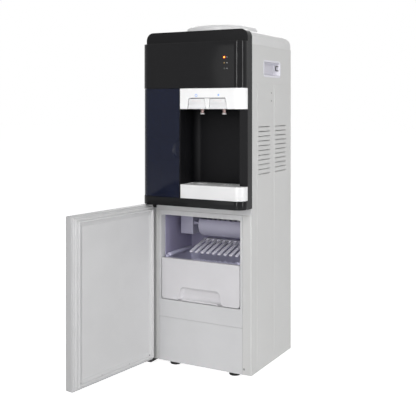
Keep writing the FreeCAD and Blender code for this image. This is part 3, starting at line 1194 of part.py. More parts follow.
def hoses():
    """The water hoses between the tanks and the taps, and the drain at the back."""
    feed_z = f"{PANEL_BOTTOM} + feed_height"
    feed_y = f"{BULGE_FACE} + tap_setback + feed_length"
    hot_top = f"{HOT_BOTTOM} + hot_tank_height + 8"
    hot = pipe("hot_hose", [
        (HOT_X, HOT_Y, hot_top), (HOT_X, HOT_Y, feed_z),
        (tap_x(-1), HOT_Y, feed_z), (tap_x(-1), feed_y, feed_z),
    ], "hose_radius")
    base = f"{COLD_BOTTOM} - jacket_wall"
    cold = pipe("cold_hose", [
        ("46", f"{SEAT_Y} + 20", base), ("46", f"{SEAT_Y} + 20", feed_z),
        (tap_x(1), f"{SEAT_Y} + 20", feed_z), (tap_x(1), feed_y, feed_z),
    ], "hose_radius")
    drain_z = f"({HOT_BOTTOM} + 14)"
    drain_x = f"({HOT_X} + hot_tank_radius)"
    drain = pipe("drain_hose", [
        (drain_x, HOT_Y, drain_z), (f"{drain_x} + 34", HOT_Y, drain_z),
        (f"{drain_x} + 34", f"{BACK} - sheet_wall", drain_z),
    ], "hose_radius")
    publish(group("water_hoses", [hot, cold, drain]))
    spigot_at = (f"{drain_x} + 34", BACK, drain_z)
    publish(tube("drain_spigot", spigot_at, "drain_radius", "drain_radius - 3", "16", "Y"))
    cap = cylinder("drain_cap_outside", (spigot_at[0], f"{BACK} + 3", drain_z), "drain_radius + 3", "17", "Y")
    room = cylinder("drain_cap_inside", (spigot_at[0], f"{BACK} + 2", drain_z), "drain_radius + fit_gap", "15", "Y")
    publish(cut("drain_cap", cap, [room]))


FAN_X = f"({INNER_RIGHT} - 66)"
FAN_Y = f"({FRONT} + (cabinet_depth + louvre_front - louvre_back) / 2)"
FAN_Z = "(louvre_bottom + louvre_pitch * (louvre_count - 1) / 2)"


def cooling():
    """Condenser and fan behind the right louvres, compressor and lines in the machine bay."""
    half, depth = "(fan_radius + 10)", "26"
    x = (f"{INNER_RIGHT} - 46", f"{INNER_RIGHT} - 10")
    fins = []
    for k in range(int(value("condenser_fins"))):
        at = f"{FAN_Y} - {half} + {k} * (2 * {half} - 1) / (condenser_fins - 1)"
        fins.append(box(f"condenser_fin_{k}", x, (at, f"{at} + 1"), (f"{FAN_Z} - {half}", f"{FAN_Z} + {half}")))
    rows = [cylinder(f"condenser_tube_{k}", (f"{x[0]} + {dx}", f"{FAN_Y} - {half} - 6", f"{FAN_Z} + {dz} * {half}"),
                     "4", f"2 * {half} + 12", "Y")
            for k, (dx, dz) in enumerate((dx, dz) for dx in (10, 26) for dz in (-0.75, -0.25, 0.25, 0.75))]
    publish(fuse("condenser", [*fins, *rows]))
    shroud = box("fan_shroud_block", (f"{FAN_X} - {depth} + 8", f"{x[0]}"), (f"{FAN_Y} - {half}", f"{FAN_Y} + {half}"),
                 (f"{FAN_Z} - {half}", f"{FAN_Z} + {half}"))
    throat = cylinder("fan_shroud_throat", (f"{FAN_X} - {depth}", FAN_Y, FAN_Z), "fan_radius + 3", "80", "X")
    spider = box("fan_shroud_bar", (f"{FAN_X} - {depth} + 8", f"{FAN_X} - {depth} + 11"),
                 (f"{FAN_Y} - fan_radius - 6", f"{FAN_Y} + fan_radius + 6"), (f"{FAN_Z} - 6", f"{FAN_Z} + 6"))
    stand = box("fan_shroud_stand", (f"{FAN_X} - {depth} + 8", f"{x[0]}"), (f"{FAN_Y} - 20", f"{FAN_Y} + 20"),
                (f"{BAY_TOP} - 1", f"{FAN_Z} - {half}"))
    ring = cut("fan_shroud_ring", shroud, [throat])
    motor = cylinder("fan_motor_body", (f"{FAN_X} - {depth} - 18", FAN_Y, FAN_Z), "18", "27", "X")
    shaft = cylinder("fan_motor_shaft", (f"{FAN_X} - {depth} + 4", FAN_Y, FAN_Z), "2.5", "24", "X")
    publish(fuse("fan_housing", [ring, spider, stand, motor, shaft]))
    hub = cylinder("fan_hub", (f"{FAN_X} - {depth} + 12", FAN_Y, FAN_Z), "fan_hub_radius", "14", "X")
    blades = []
    for k in range(int(value("fan_blades"))):
        turn = 360 / value("fan_blades") * k
        blade = DOC.addObject("Part::Box", f"fan_blade_{k}")
        bind(blade, "Length", "2")
        bind(blade, "Width", "fan_radius - 2")
        bind(blade, "Height", "26")
        lean = Rotation(Vector(1, 0, 0), turn).multiply(Rotation(Vector(0, 1, 0), 28))
        blade.Placement = Placement(Vector(), lean)
        offset = lean.multVec(Vector(-1, 0, -13))
        place(blade, f"{FAN_X} - {depth} + 19 + {offset.x:.4f}", f"{FAN_Y} + {offset.y:.4f}",
              f"{FAN_Z} + {offset.z:.4f}")
        blades.append(blade)
    disc = cylinder("fan_sweep", (f"{FAN_X} - {depth} + 12.2", FAN_Y, FAN_Z), "fan_radius", "13.6", "X")
    swept = DOC.addObject("Part::Common", "fan_blades_trimmed")
    swept.Base = fuse("fan_blades_all", blades)
    swept.Tool = disc
    bore = cylinder("fan_bore", (f"{FAN_X} - {depth} + 11", FAN_Y, FAN_Z), "2.5 + fit_gap", "20", "X")
    publish(cut("fan_blade", fuse("fan_blade_solid", [hub, swept]), [bore]))

    base_x, base_y = f"({LEFT} + 96)", f"({BACK} - 78)"
    can = cylinder("compressor_can", (base_x, base_y, "floor_gap + 18"), "compressor_radius", "compressor_height")
    dome = rounded("compressor_dome", can, "20", lambda edge: edge.Curve.TypeId == "Part::GeomCircle"
                   and middle(edge).z > value("floor_gap + 20"))
    foot = box("compressor_foot", (f"{base_x} - 62", f"{base_x} + 62"), (f"{base_y} - 44", f"{base_y} + 44"),
               ("floor_gap + 16", "floor_gap + 19"))
    terminal = box("compressor_terminal", (f"{base_x} + 40", f"{base_x} + 70"), (f"{base_y} - 22", f"{base_y} + 22"),
                   ("floor_gap + 50", "floor_gap + 96"))
    publish(fuse("compressor", [dome, foot, terminal]))
    pads = [cylinder(f"compressor_grommet_{k}", (f"{base_x} + {dx} * 54", f"{base_y} + {dy} * 36", "floor_gap + sheet_wall"),
                     "8", "14") for k, (dx, dy) in enumerate(((-1, -1), (1, -1), (1, 1), (-1, 1)))]
    publish(group("compressor_grommets", pads))
    can_top = "(floor_gap + 18 + compressor_height)"
    line = pipe("refrigerant_pipe", [
        (f"{base_x} + 18", f"{base_y} + 18", can_top), (f"{base_x} + 18", f"{base_y} + 18", f"{can_top} + 20"),
        (f"{base_x} + 18", LINE_Y, f"{can_top} + 20"), (f"{base_x} + 18", LINE_Y, f"{BAY_TOP} + 30"),
        (f"{x[0]} + 10", LINE_Y, f"{BAY_TOP} + 30"), (f"{x[0]} + 10", LINE_Y, f"{FAN_Z} - 0.75 * {half}"),
        (f"{x[0]} + 10", f"{FAN_Y} + {half} + 6", f"{FAN_Z} - 0.75 * {half}"),
    ], "line_radius")
    drier = cylinder("filter_drier_body", (f"{base_x} + 96", base_y, "floor_gap + 50"), "10", "90")
    clip = box("filter_drier_clip", (f"{base_x} + 94", f"{base_x} + 98"), (f"{base_y} - 6", f"{base_y} + 6"),
               ("floor_gap + sheet_wall", "floor_gap + 52"))
    publish(group("refrigerant_lines", [line, fuse("filter_drier", [drier, clip])]))
    pump_x, pump_y = f"({RIGHT} - 70)", f"({FRONT} + 70)"
    pump = cylinder("water_pump_body", (pump_x, pump_y, "floor_gap + sheet_wall"), "24", "46")
    outlet = cylinder("water_pump_outlet", (pump_x, pump_y, "floor_gap + 46"), "5", "24")
    publish(fuse("water_pump", [pump, outlet]))


def electrics():
    """Control board, rocker switches with their plate, and the mains inlet."""
    board_x = f"({INNER_LEFT} + 14)"
    plate = box("control_board_plate", (board_x, f"{board_x} + 2"), (f"{SEAT_Y} + 20", f"{SEAT_Y} + 100"),
                (f"{BAY_TOP} - 1", f"{BAY_TOP} + 56"))
    relays = [box(f"control_board_relay_{k}", (f"{board_x} + 1", f"{board_x} + 16"),
                  (f"{SEAT_Y} + {26 + 26 * k}", f"{SEAT_Y} + {44 + 26 * k}"), (f"{BAY_TOP} + 20", f"{BAY_TOP} + 38"))
              for k in range(3)]
    control = fuse("control_board", [plate, *relays])
    lamp_back = f"({BULGE_FACE} + plastic_wall + 3.6)"
    indicator = box("indicator_board", (f"{LAMP_X} - 20", f"{LAMP_X} + 20"), (lamp_back, f"{lamp_back} + 1.6"),
                    (f"{PANEL_TOP} + plastic_wall", f"{FASCIA_TOP} - 30"))
    publish(group("circuit_boards", [control, indicator]))

    width = "(switch_count * switch_pitch)"
    left = f"({RIGHT} - switch_inset - {width})"
    z = (f"{PANEL_TOP} - switch_drop - switch_height", f"{PANEL_TOP} - switch_drop")
    bezel = box("switch_plate_block", (f"{left} - 4", f"{RIGHT} - switch_inset + 4"), (BACK, f"{BACK} + 2"),
                (f"{z[0]} - 4", f"{z[1]} + 4"))
    body = box("switch_plate_body", (left, f"{RIGHT} - switch_inset"), (f"{BACK} - 22", f"{BACK} + 1"), z)
    rooms = []
    rockers = []
    for k in range(int(value("switch_count"))):
        middle_x = f"({left} + ({k} + 0.5) * switch_pitch)"
        rooms.append(box(f"switch_room_{k}", (f"{middle_x} - 10", f"{middle_x} + 10"), (f"{BACK} - 14", f"{BACK} + 3"),
                         (f"{z[0]} + 4", f"{z[1]} - 4")))
        middle_z = f"(({z[0]}) + ({z[1]})) / 2"
        rocker = slab(f"rocker_paddle_{k + 1}", "YZ", [
            (f"{BACK} - 6", f"{middle_z} - 12.5"), (f"{BACK} + 4.5", f"{middle_z} - 12.5"),
            (f"{BACK} + 1.5", middle_z), (f"{BACK} + 2", f"{middle_z} + 12.5"), (f"{BACK} - 6", f"{middle_z} + 12.5"),
            (f"{BACK} - 8", middle_z),
        ], f"{middle_x} - 9.5", f"{middle_x} + 9.5")
        axle = cylinder(f"rocker_axle_{k}", (f"{middle_x} - 9.8", f"{BACK} - 4", middle_z), "1.5", "19.6", "X")
        rockers.append(fuse(f"rocker_switch_{k + 1}", [rocker, axle]))
    plate = cut("switch_plate", fuse("switch_plate_solid", [bezel, body]), rooms)
    for rocker in rockers:
        publish(rocker)
    inlet_x, inlet_z = f"({RIGHT} - 60)", f"({KICK_TOP} + 40)"
    block = box("mains_inlet_block", (f"{inlet_x} - 24", f"{inlet_x} + 24"), (BACK, f"{BACK} + 4"),
                (f"{inlet_z} - 16", f"{inlet_z} + 16"))
    room = box("mains_inlet_room", (f"{inlet_x} - 14", f"{inlet_x} + 14"), (f"{BACK} + 1.5", f"{BACK} + 5"),
               (f"{inlet_z} - 10", f"{inlet_z} + 10"))
    pins = [box(f"mains_inlet_pin_{k}", (f"{inlet_x} + {dx} - 1", f"{inlet_x} + {dx} + 1"), (f"{BACK} + 1", f"{BACK} + 4"),
                (f"{inlet_z} - 3", f"{inlet_z} + 3")) for k, dx in enumerate((-7, 0, 7))]
    inlet = fuse("mains_inlet", [cut("mains_inlet_cup", block, [room]), *pins])
    publish(group("rear_electrics", [plate, inlet]))


def screws():
    """Heads of the screws that show: two in each side panel, four in the back, one in the kick panel."""
    heads = []
    for k, side in enumerate((-1, 1)):
        reach = sorted((f"{side} * (cabinet_width / 2 - emboss_height)", f"{side} * (cabinet_width / 2 + 0.3)"),
                       key=value)
        for j in range(2):
            at = (reach[0], "-side_screw_lead", f"{SHELL_TOP} - side_screw_drop - {j} * side_screw_pitch")
            heads.append(cylinder(f"screw_side_{k}{j}", at, "side_screw_radius", f"({reach[1]}) - ({reach[0]})", "X"))
    for k, (dx, z) in enumerate(((12, f"{KICK_TOP} + 12"), (12, f"{SHELL_TOP} - 12"))):
        for j, side in enumerate((-1, 1)):
            heads.append(cylinder(f"screw_back_{k}{j}", (f"{side} * (cabinet_width / 2 - {dx})", BACK, z),
                                  "screw_radius", "1.6", "Y"))
    heads.append(cylinder("screw_front", (f"{RIGHT} - 23", f"{LOWER_FACE} - 0.3", "floor_gap + 16"),
                          "screw_radius", "0.3", "Y"))
    publish(group("casing_screws", heads))


# ------------------------------------------------------------- build and check

PLAIN_BUILDERS = (base_pan, feet, kick_panel, front_frame, rear_panel, rear_grille, top_cover,
                  bottle_collar, bottle_seat, front_plate, fascia_and_strip, tap_panel, taps,
                  alcove_liner, cup_cabinet, drip_tray, ice_maker, ice_slide, ice_bin, door, hoses,
                  cooling, electrics, screws)


def build():
    """Make every sub-part in the document."""
    side_panel("side_panel_left", -1)
    side_panel("side_panel_right", 1)
    publish(group("handle_cups", [handle_cup("handle_cup_left", -1), handle_cup("handle_cup_right", 1)]))
    for builder in PLAIN_BUILDERS:
        builder()
    publish(group("pivot_pins", keys() + cup_door()))
    publish(group("foam_insulation", ice_liner() + tanks()))
    DOC.recompute()


def check():
    """Stop at any object that failed, and at any sub-part that isn't a valid solid."""
    failed = [item.Label for item in DOC.Objects if {"Invalid", "Error"} & set(item.State)]
    for item in SUB_PARTS:
        shape = item.Shape
        if shape.isNull() or not shape.isValid() or not shape.Solids:
            failed.append(item.Label + " (shape)")
    labels = [item.Label for item in SUB_PARTS]
    failed += [label + " (twice)" for label in set(labels) if labels.count(label) > 1]
    if failed:
        sys.exit("failed: " + ", ".join(failed))


def export():
    """Write one file for each sub-part."""
    os.makedirs("parts", exist_ok=True)
    for item in SUB_PARTS:
        item.Shape.exportStep(f"parts/{item.Label}.step")
    print(len(SUB_PARTS), "sub-parts")


build()
check()
export()
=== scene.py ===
"""Looks of a free-standing water cooler with a bottle seat on top and an ice maker below.

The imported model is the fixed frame. Each sub-assembly is a class that makes its surfaces with numpy,
dresses them, and lets them ride on the bodies of the frame. Sizes are in millimetres until a mesh is
made; the frame and Blender are in metres.
"""

import json
import logging
import math
from dataclasses import dataclass, field
from enum import Enum
from typing import Any, Callable, Iterable, Sequence

import bmesh
import bpy
import numpy as np
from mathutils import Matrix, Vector
from mathutils.geometry import tessellate_polygon

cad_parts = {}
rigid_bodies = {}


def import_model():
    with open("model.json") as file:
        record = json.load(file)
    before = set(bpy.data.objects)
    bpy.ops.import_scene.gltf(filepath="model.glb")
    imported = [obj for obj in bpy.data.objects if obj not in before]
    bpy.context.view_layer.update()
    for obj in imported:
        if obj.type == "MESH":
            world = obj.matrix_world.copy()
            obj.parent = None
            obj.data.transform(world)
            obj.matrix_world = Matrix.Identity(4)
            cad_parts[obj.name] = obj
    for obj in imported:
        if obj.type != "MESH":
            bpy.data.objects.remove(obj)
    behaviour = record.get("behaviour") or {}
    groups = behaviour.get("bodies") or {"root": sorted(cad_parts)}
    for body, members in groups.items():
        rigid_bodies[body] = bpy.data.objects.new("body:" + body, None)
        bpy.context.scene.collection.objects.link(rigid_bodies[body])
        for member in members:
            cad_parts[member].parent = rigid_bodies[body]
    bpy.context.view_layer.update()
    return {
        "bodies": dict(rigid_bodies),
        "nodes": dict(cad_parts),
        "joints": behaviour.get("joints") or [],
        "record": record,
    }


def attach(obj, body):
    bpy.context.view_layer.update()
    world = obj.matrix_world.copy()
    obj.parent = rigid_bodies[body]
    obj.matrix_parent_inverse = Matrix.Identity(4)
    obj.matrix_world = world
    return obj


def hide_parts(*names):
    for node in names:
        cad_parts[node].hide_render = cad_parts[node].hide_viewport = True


LOG = logging.getLogger("water_cooler")
Array = np.ndarray
Colour = tuple[float, float, float]
MM = 0.001


def placed(name: str, data: Any) -> bpy.types.Object:
    """A new object of some data, linked to the scene."""
    made = bpy.data.objects.new(name, data)
    bpy.context.scene.collection.objects.link(made)
    return made


# ---------------------------------------------------------------- shader maths

class Graph:
    """The node tree of a material or a world."""

    def __init__(self, owner: Any, output: str = "ShaderNodeOutputMaterial") -> None:
        """Start an empty tree with its output node."""
        self.owner = owner
        owner.use_nodes = True
        self.tree = owner.node_tree
        self.tree.nodes.clear()
        self.output = self.node(output)

    def node(self, kind: str, settings: dict[str, Any] | None = None,
             values: dict[Any, Any] | None = None) -> bpy.types.Node:
        """Add a node.

        Args:
            kind: the node's type.
            settings: its properties, set before its sockets.
            values: for each input, a number, a colour, a socket or a Term.

        Returns:
            The new node.
        """
        made = self.tree.nodes.new(kind)
        for key, setting in (settings or {}).items():
            setattr(made, key, setting)
        for key, entry in (values or {}).items():
            socket = made.inputs[key]
            if isinstance(entry, Term):
                entry = entry.socket
            if isinstance(entry, bpy.types.NodeSocket):
                self.tree.links.new(entry, socket)
            else:
                socket.default_value = entry
        return made

    def term(self, socket: bpy.types.NodeSocket) -> "Term":
        """Wrap a socket for arithmetic."""
        return Term(self, socket)

    def place(self) -> bpy.types.NodeSocket:
        """Object coordinates, in metres in the frame of the model."""
        return self.node("ShaderNodeTexCoord").outputs["Object"]

    def stretched(self, scale: Sequence[float]) -> bpy.types.NodeSocket:
        """Object coordinates with each axis scaled."""
        return self.node("ShaderNodeMapping", None, {"Vector": self.place(), "Scale": tuple(scale)}).outputs[0]

    def noise(self, scale: float, detail: float = 2.0, place: bpy.types.NodeSocket | None = None) -> "Term":
        """Soft noise from 0 to 1 at a scale, in cycles per metre."""
        made = self.node("ShaderNodeTexNoise", None,
                         {"Vector": place or self.place(), "Scale": scale, "Detail": detail})
        return self.term(made.outputs["Fac"])

    def blend(self, share: Any, low: Sequence[float], high: Sequence[float]) -> bpy.types.NodeSocket:
        """A colour between two colours."""
        made = self.node("ShaderNodeMix", {"data_type": "RGBA"}, {"Factor": share})
        for socket, colour in ((made.inputs[6], low), (made.inputs[7], high)):
            if isinstance(colour, bpy.types.NodeSocket):
                self.tree.links.new(colour, socket)
            else:
                socket.default_value = (*colour, 1.0)
        return made.outputs[2]

    def bump(self, height: "Term", depth: float) -> bpy.types.NodeSocket:
        """Normals of a height between 0 and 1, depth metres deep."""
        made = self.node("ShaderNodeBump", None, {"Strength": 1.0, "Distance": depth, "Height": height})
        return made.outputs["Normal"]

    def surface(self, shader: bpy.types.Node) -> Any:
        """Join a shader to the output and return the finished material or world."""
        self.tree.links.new(shader.outputs[0], self.output.inputs["Surface"])
        return self.owner


class Term:
    """A number that a shader works out; operators on it add Math nodes."""

    def __init__(self, graph: Graph, socket: bpy.types.NodeSocket) -> None:
        """Wrap a socket of a graph."""
        self.graph = graph
        self.socket = socket

    def math(self, operation: str, *others: Any, first: Any = None) -> "Term":
        """Apply a Math node to this term and others."""
        entries = [self if first is None else first, *others]
        made = self.graph.node("ShaderNodeMath", {"operation": operation}, dict(enumerate(entries)))
        return Term(self.graph, made.outputs[0])

    def __add__(self, other: Any) -> "Term":
        """Sum."""
        return self.math("ADD", other)

    __radd__ = __add__

    def __sub__(self, other: Any) -> "Term":
        """Difference."""
        return self.math("SUBTRACT", other)

    def __rsub__(self, other: Any) -> "Term":
        """Difference, with this term taken away."""
        return self.math("SUBTRACT", self, first=other)

    def __mul__(self, other: Any) -> "Term":
        """Product."""
        return self.math("MULTIPLY", other)

    __rmul__ = __mul__

    def step(self, low: float, high: float) -> "Term":
        """A smooth rise from 0 at low to 1 at high."""
        made = self.graph.node("ShaderNodeMapRange", {"interpolation_type": "SMOOTHSTEP"},
                               {"Value": self, "From Min": low, "From Max": high})
        return Term(self.graph, made.outputs[0])


# -------------------------------------------------------------------- finishes

def darker(colour: Colour, share: float) -> Colour:
    """A colour scaled by a share."""
    return tuple(min(1.0, part * share) for part in colour)


@dataclass(frozen=True)
class Finish:
    """A named finish made of one Principled shader."""

    name: str
    colour: Colour

    def material(self) -> bpy.types.Material:
        """Build the material."""
        graph = Graph(bpy.data.materials.new(self.name))
        return graph.surface(graph.node("ShaderNodeBsdfPrincipled", None, self.inputs(graph)))

    def inputs(self, graph: Graph) -> dict[str, Any]:
        """The shader's inputs, which each kind of finish gives in its own way."""
        raise NotImplementedError


@dataclass(frozen=True)
class Moulded(Finish):
    """Moulded plastic: fine spark-eroded grain, faint mottling and uneven gloss.

    Roughness varies by polish; depth and grain size the bump, in metres and cycles per metre.
    """

    roughness: float = 0.4
    grain: float = 1400.0
    depth: float = 0.00002
    mottle: float = 0.03
    polish: float = 0.06
    specular: float = 0.5

    def inputs(self, graph: Graph) -> dict[str, Any]:
        """The shader's inputs."""
        cloud = graph.noise(9.0, 3.0)
        smear = graph.noise(23.0, 4.0)
        tint = graph.blend(cloud.step(0.3, 0.7), darker(self.colour, 1 - self.mottle),
                           darker(self.colour, 1 + self.mottle / 2))
        return {
            "Base Color": tint, "Roughness": self.roughness + (smear - 0.5) * self.polish,
            "Specular IOR Level": self.specular,
            "Normal": graph.bump(graph.noise(self.grain, 2.0), self.depth),
        }


@dataclass(frozen=True)
class PaintedSheet(Finish):
    """Stove-enamelled steel: orange peel a few millimetres wide, and a satin that changes a little."""

    roughness: float = 0.38
    peel: float = 420.0

    def inputs(self, graph: Graph) -> dict[str, Any]:
        """The shader's inputs."""
        cloud = graph.noise(5.0, 3.0)
        tint = graph.blend(cloud.step(0.25, 0.75), darker(self.colour, 0.975), darker(self.colour, 1.01))
        peel = graph.noise(self.peel, 2.0) * 0.8 + graph.noise(self.peel * 4, 1.0) * 0.2
        return {
            "Base Color": tint, "Roughness": self.roughness + (graph.noise(31.0, 4.0) - 0.5) * 0.08,
            "Normal": graph.bump(peel, 0.00003),
        }


@dataclass(frozen=True)
class Metal(Finish):
    """Bare metal, drawn or brushed along one axis."""

    roughness: float = 0.25
    stretch: tuple[float, float, float] = (30.0, 900.0, 900.0)
    scratch: float = 0.1

    def inputs(self, graph: Graph) -> dict[str, Any]:
        """The shader's inputs."""
        lines = graph.noise(1.0, 3.0, graph.stretched(self.stretch))
        cloud = graph.noise(14.0, 3.0)
        tint = graph.blend(cloud.step(0.3, 0.7), darker(self.colour, 0.9), self.colour)
        return {
            "Base Color": tint, "Metallic": 1.0, "Roughness": self.roughness + (lines - 0.5) * self.scratch,
            "Normal": graph.bump(lines, 0.00001),
        }


@dataclass(frozen=True)
class Smoked(Finish):
    """Tinted clear plastic seen against a dark room."""

    alpha: float = 0.8
    roughness: float = 0.08

    def inputs(self, graph: Graph) -> dict[str, Any]:
        """The shader's inputs."""
        return {
            "Base Color": graph.blend(graph.noise(7.0, 2.0), self.colour, darker(self.colour, 1.12)),
            "Roughness": self.roughness + (graph.noise(26.0, 3.0) - 0.5) * 0.05,
            "Specular IOR Level": 0.2, "Alpha": self.alpha,
            "Normal": graph.bump(graph.noise(60.0, 1.0), 0.00002),
        }


@dataclass(frozen=True)
class Foamed(Finish):
    """Rigid foam or soft rubber: cells of a size, matt."""

    cells: float = 500.0
    roughness: float = 0.85
    depth: float = 0.0003

    def inputs(self, graph: Graph) -> dict[str, Any]:
        """The shader's inputs."""
        made = graph.node("ShaderNodeTexVoronoi", None, {"Vector": graph.place(), "Scale": self.cells})
        cells = graph.term(made.outputs["Distance"])
        tint = graph.blend(cells.step(0.0, 0.7), darker(self.colour, 0.86), self.colour)
        return {
            "Base Color": tint, "Roughness": self.roughness + (graph.noise(40.0, 2.0) - 0.5) * 0.1,
            "Normal": graph.bump(cells, self.depth),
        }


@dataclass(frozen=True)
class Glowing(Finish):
    """A lamp's lens, lit in its middle."""

    glow: Colour
    strength: float

    def inputs(self, graph: Graph) -> dict[str, Any]:
        """The shader's inputs."""
        return {
            "Base Color": graph.blend(graph.noise(900.0, 1.0), self.colour, darker(self.colour, 0.8)),
            "Roughness": 0.2, "Emission Color": (*self.glow, 1.0), "Emission Strength": self.strength,
        }


class Looks:
    """Every finish of the cooler, made once when it is first asked for."""

    FINISHES = (
        PaintedSheet("casing_paint", (0.60, 0.60, 0.595)),
        PaintedSheet("door_paint", (0.50, 0.50, 0.505)),
        Moulded("cover_plastic", (0.64, 0.64, 0.64), roughness=0.35),
        Moulded("collar_plastic", (0.74, 0.74, 0.745), roughness=0.28),
        Moulded("frame_plastic", (0.62, 0.62, 0.63), roughness=0.42),
        Moulded("front_plastic", (0.66, 0.65, 0.67), roughness=0.35),
        Moulded("white_plastic", (0.95, 0.95, 0.955), roughness=0.22),
        Moulded("tray_plastic", (0.82, 0.82, 0.825), roughness=0.25),
        Moulded("cup_plastic", (0.70, 0.69, 0.75), roughness=0.3),
        Moulded("lining_plastic", (0.36, 0.34, 0.48), roughness=0.38),
        # The ice maker's plastic is set darker than its own colour: painted shade for the frame's shadow on the
        # water tray and the gearbox.
        Moulded("shade_darkened_drum_plastic", (0.43, 0.42, 0.52), roughness=0.35),
        Moulded("rib_plastic", (0.88, 0.87, 0.95), roughness=0.3),
        Moulded("bin_plastic", (0.60, 0.59, 0.74), roughness=0.35),
        Moulded("door_plastic", (0.60, 0.60, 0.605), roughness=0.45),
        Moulded("dark_gloss", (0.008, 0.008, 0.009), roughness=0.09, grain=90.0, depth=0.000004, mottle=0.0,
                polish=0.02, specular=0.16),
        Moulded("bezel_gloss", (0.007, 0.007, 0.008), roughness=0.25, grain=600.0, depth=0.000006, mottle=0.0,
                specular=0.14),
        Moulded("alcove_satin", (0.005, 0.005, 0.006), roughness=0.5, specular=0.12, mottle=0.1),
        Moulded("dark_satin", (0.009, 0.009, 0.010), roughness=0.4, specular=0.3, mottle=0.1),
        Moulded("key_plastic", (0.86, 0.86, 0.87), roughness=0.18),
        Moulded("spout_white", (0.62, 0.60, 0.60), roughness=0.25),
        Moulded("icon_blue", (0.35, 0.55, 0.95), roughness=0.4),
        Moulded("icon_pale", (0.40, 0.56, 0.95), roughness=0.4),
        Moulded("icon_red", (0.78, 0.66, 0.66), roughness=0.4),
        Moulded("icon_white", (0.40, 0.40, 0.41), roughness=0.4),
        Moulded("switch_plastic", (0.02, 0.02, 0.02), roughness=0.3),
        Moulded("hose_plastic", (0.62, 0.66, 0.68), roughness=0.3),
        Moulded("board_green", (0.02, 0.10, 0.04), roughness=0.35, mottle=0.3),
        Smoked("smoked_blue", (0.006, 0.009, 0.026), alpha=0.88),
        Foamed("foot_rubber", (0.012, 0.012, 0.012), cells=900.0, depth=0.00005),
        Foamed("seal_rubber", (0.62, 0.62, 0.625), cells=1500.0, roughness=0.55, depth=0.00001),
        Foamed("insulation", (0.75, 0.62, 0.35)),
        Metal("bare_steel", (0.58, 0.58, 0.59)),
        Metal("dark_steel", (0.05, 0.05, 0.05), roughness=0.4),
        Metal("nozzle_chrome", (0.26, 0.19, 0.18), roughness=0.3, stretch=(900.0, 900.0, 40.0)),
        Metal("screw_steel", (0.28, 0.28, 0.28), roughness=0.35),
        Metal("copper", (0.72, 0.36, 0.22), roughness=0.3),
        Metal("aluminium", (0.70, 0.71, 0.73), roughness=0.35),
        Glowing("lamp_red", (0.5, 0.02, 0.01), (1.0, 0.05, 0.01), 1.6),
        Glowing("lamp_yellow", (0.6, 0.4, 0.02), (1.0, 0.62, 0.05), 3.0),
        Glowing("lamp_amber", (0.16, 0.10, 0.02), (0.5, 0.25, 0.03), 0.1),
        Glowing("lamp_grey", (0.03, 0.04, 0.03), (0.0, 0.1, 0.0), 0.02),
    )

    def __init__(self) -> None:
        """Start with nothing made."""
        self.made: dict[str, bpy.types.Material] = {}
        self.known = {finish.name: finish for finish in self.FINISHES}

    def __getitem__(self, name: str) -> bpy.types.Material:
        """The material of a finish."""
        if name not in self.made:
            self.made[name] = self.known[name].material()
        return self.made[name]


# -------------------------------------------------------------------- outlines

def unit(steps: Array) -> Array:
    """Each row scaled to length 1."""
    return steps / np.linalg.norm(steps, axis=-1, keepdims=True)


@dataclass(frozen=True)
class Outline:
    """A closed outline, counter-clockwise, with a round at each corner.

    Each corner's arc touches its two edges radius / tan(half the corner's angle) away, and turns evenly
    about a centre on the corner's bisector. Set in by a distance, the edges move inwards, outer rounds
    shrink and inner rounds grow by it, and the count of points stays.
    """

    corners: tuple[tuple[float, float], ...]
    radii: tuple[float, ...]
    steps: int = 6

    def ring(self, inset: float = 0.0) -> Array:
        """Points of the outline, set in by a distance.

        Args:
            inset: how far every edge moves inwards.

        Returns:
            An array of (u, v) rows.
        """
        points = np.array(self.corners, float)
        ahead = unit(np.roll(points, -1, 0) - points)
        before = np.roll(ahead, 1, 0)
        turn = before[:, 0] * ahead[:, 1] - before[:, 1] * ahead[:, 0]
        inner = np.stack((-ahead[:, 1], ahead[:, 0]), 1)
        bisector = unit(inner + np.roll(inner, 1, 0))
        points = points + bisector * inset / (bisector * inner).sum(1, keepdims=True)
        size = np.where(turn > 0, np.array(self.radii) - inset, np.array(self.radii) + inset).clip(0.03)[:, None]
        half = np.arccos((-before * ahead).sum(1, keepdims=True).clip(-1, 1)) / 2
        centre = points + unit(ahead - before) * size / np.sin(half)
        start = (points - before * size / np.tan(half) - centre) / size
        end = (points + ahead * size / np.tan(half) - centre) / size
        sweep = (np.pi - 2 * half)[:, :, None]
        share = np.linspace(0, 1, self.steps + 1)[None, :, None]
        arc = np.sin((1 - share) * sweep) * start[:, None] + np.sin(share * sweep) * end[:, None]
        return (centre[:, None] + arc / np.sin(sweep) * size[:, None]).reshape(-1, 2)


@dataclass(frozen=True)
class Disc:
    """A circle as an outline."""

    centre: tuple[float, float]
    radius: float
    count: int = 48

    def ring(self, inset: float = 0.0) -> Array:
        """Points of the circle, set in by a distance."""
        angle = np.arange(self.count) / self.count * 2 * np.pi
        return np.array(self.centre) + (self.radius - inset) * np.stack((np.cos(angle), np.sin(angle)), 1)


def block(u: tuple[float, float], v: tuple[float, float], radius: float | Sequence[float] = 0.0,
          steps: int = 6) -> Outline:
    """A rectangle as an outline; radii run from the low-left corner counter-clockwise."""
    radii = (radius,) * 4 if isinstance(radius, (int, float)) else tuple(radius)
    return Outline(((u[0], v[0]), (u[1], v[0]), (u[1], v[1]), (u[0], v[1])), radii, steps)


class Plane(Enum):
    """The plane that an outline lies in, with the axes of its two directions and its thickness."""

    XY = (0, 1, 2)
    XZ = (0, 2, 1)
    YZ = (1, 2, 0)


# ----------------------------------------------------------------------- skins

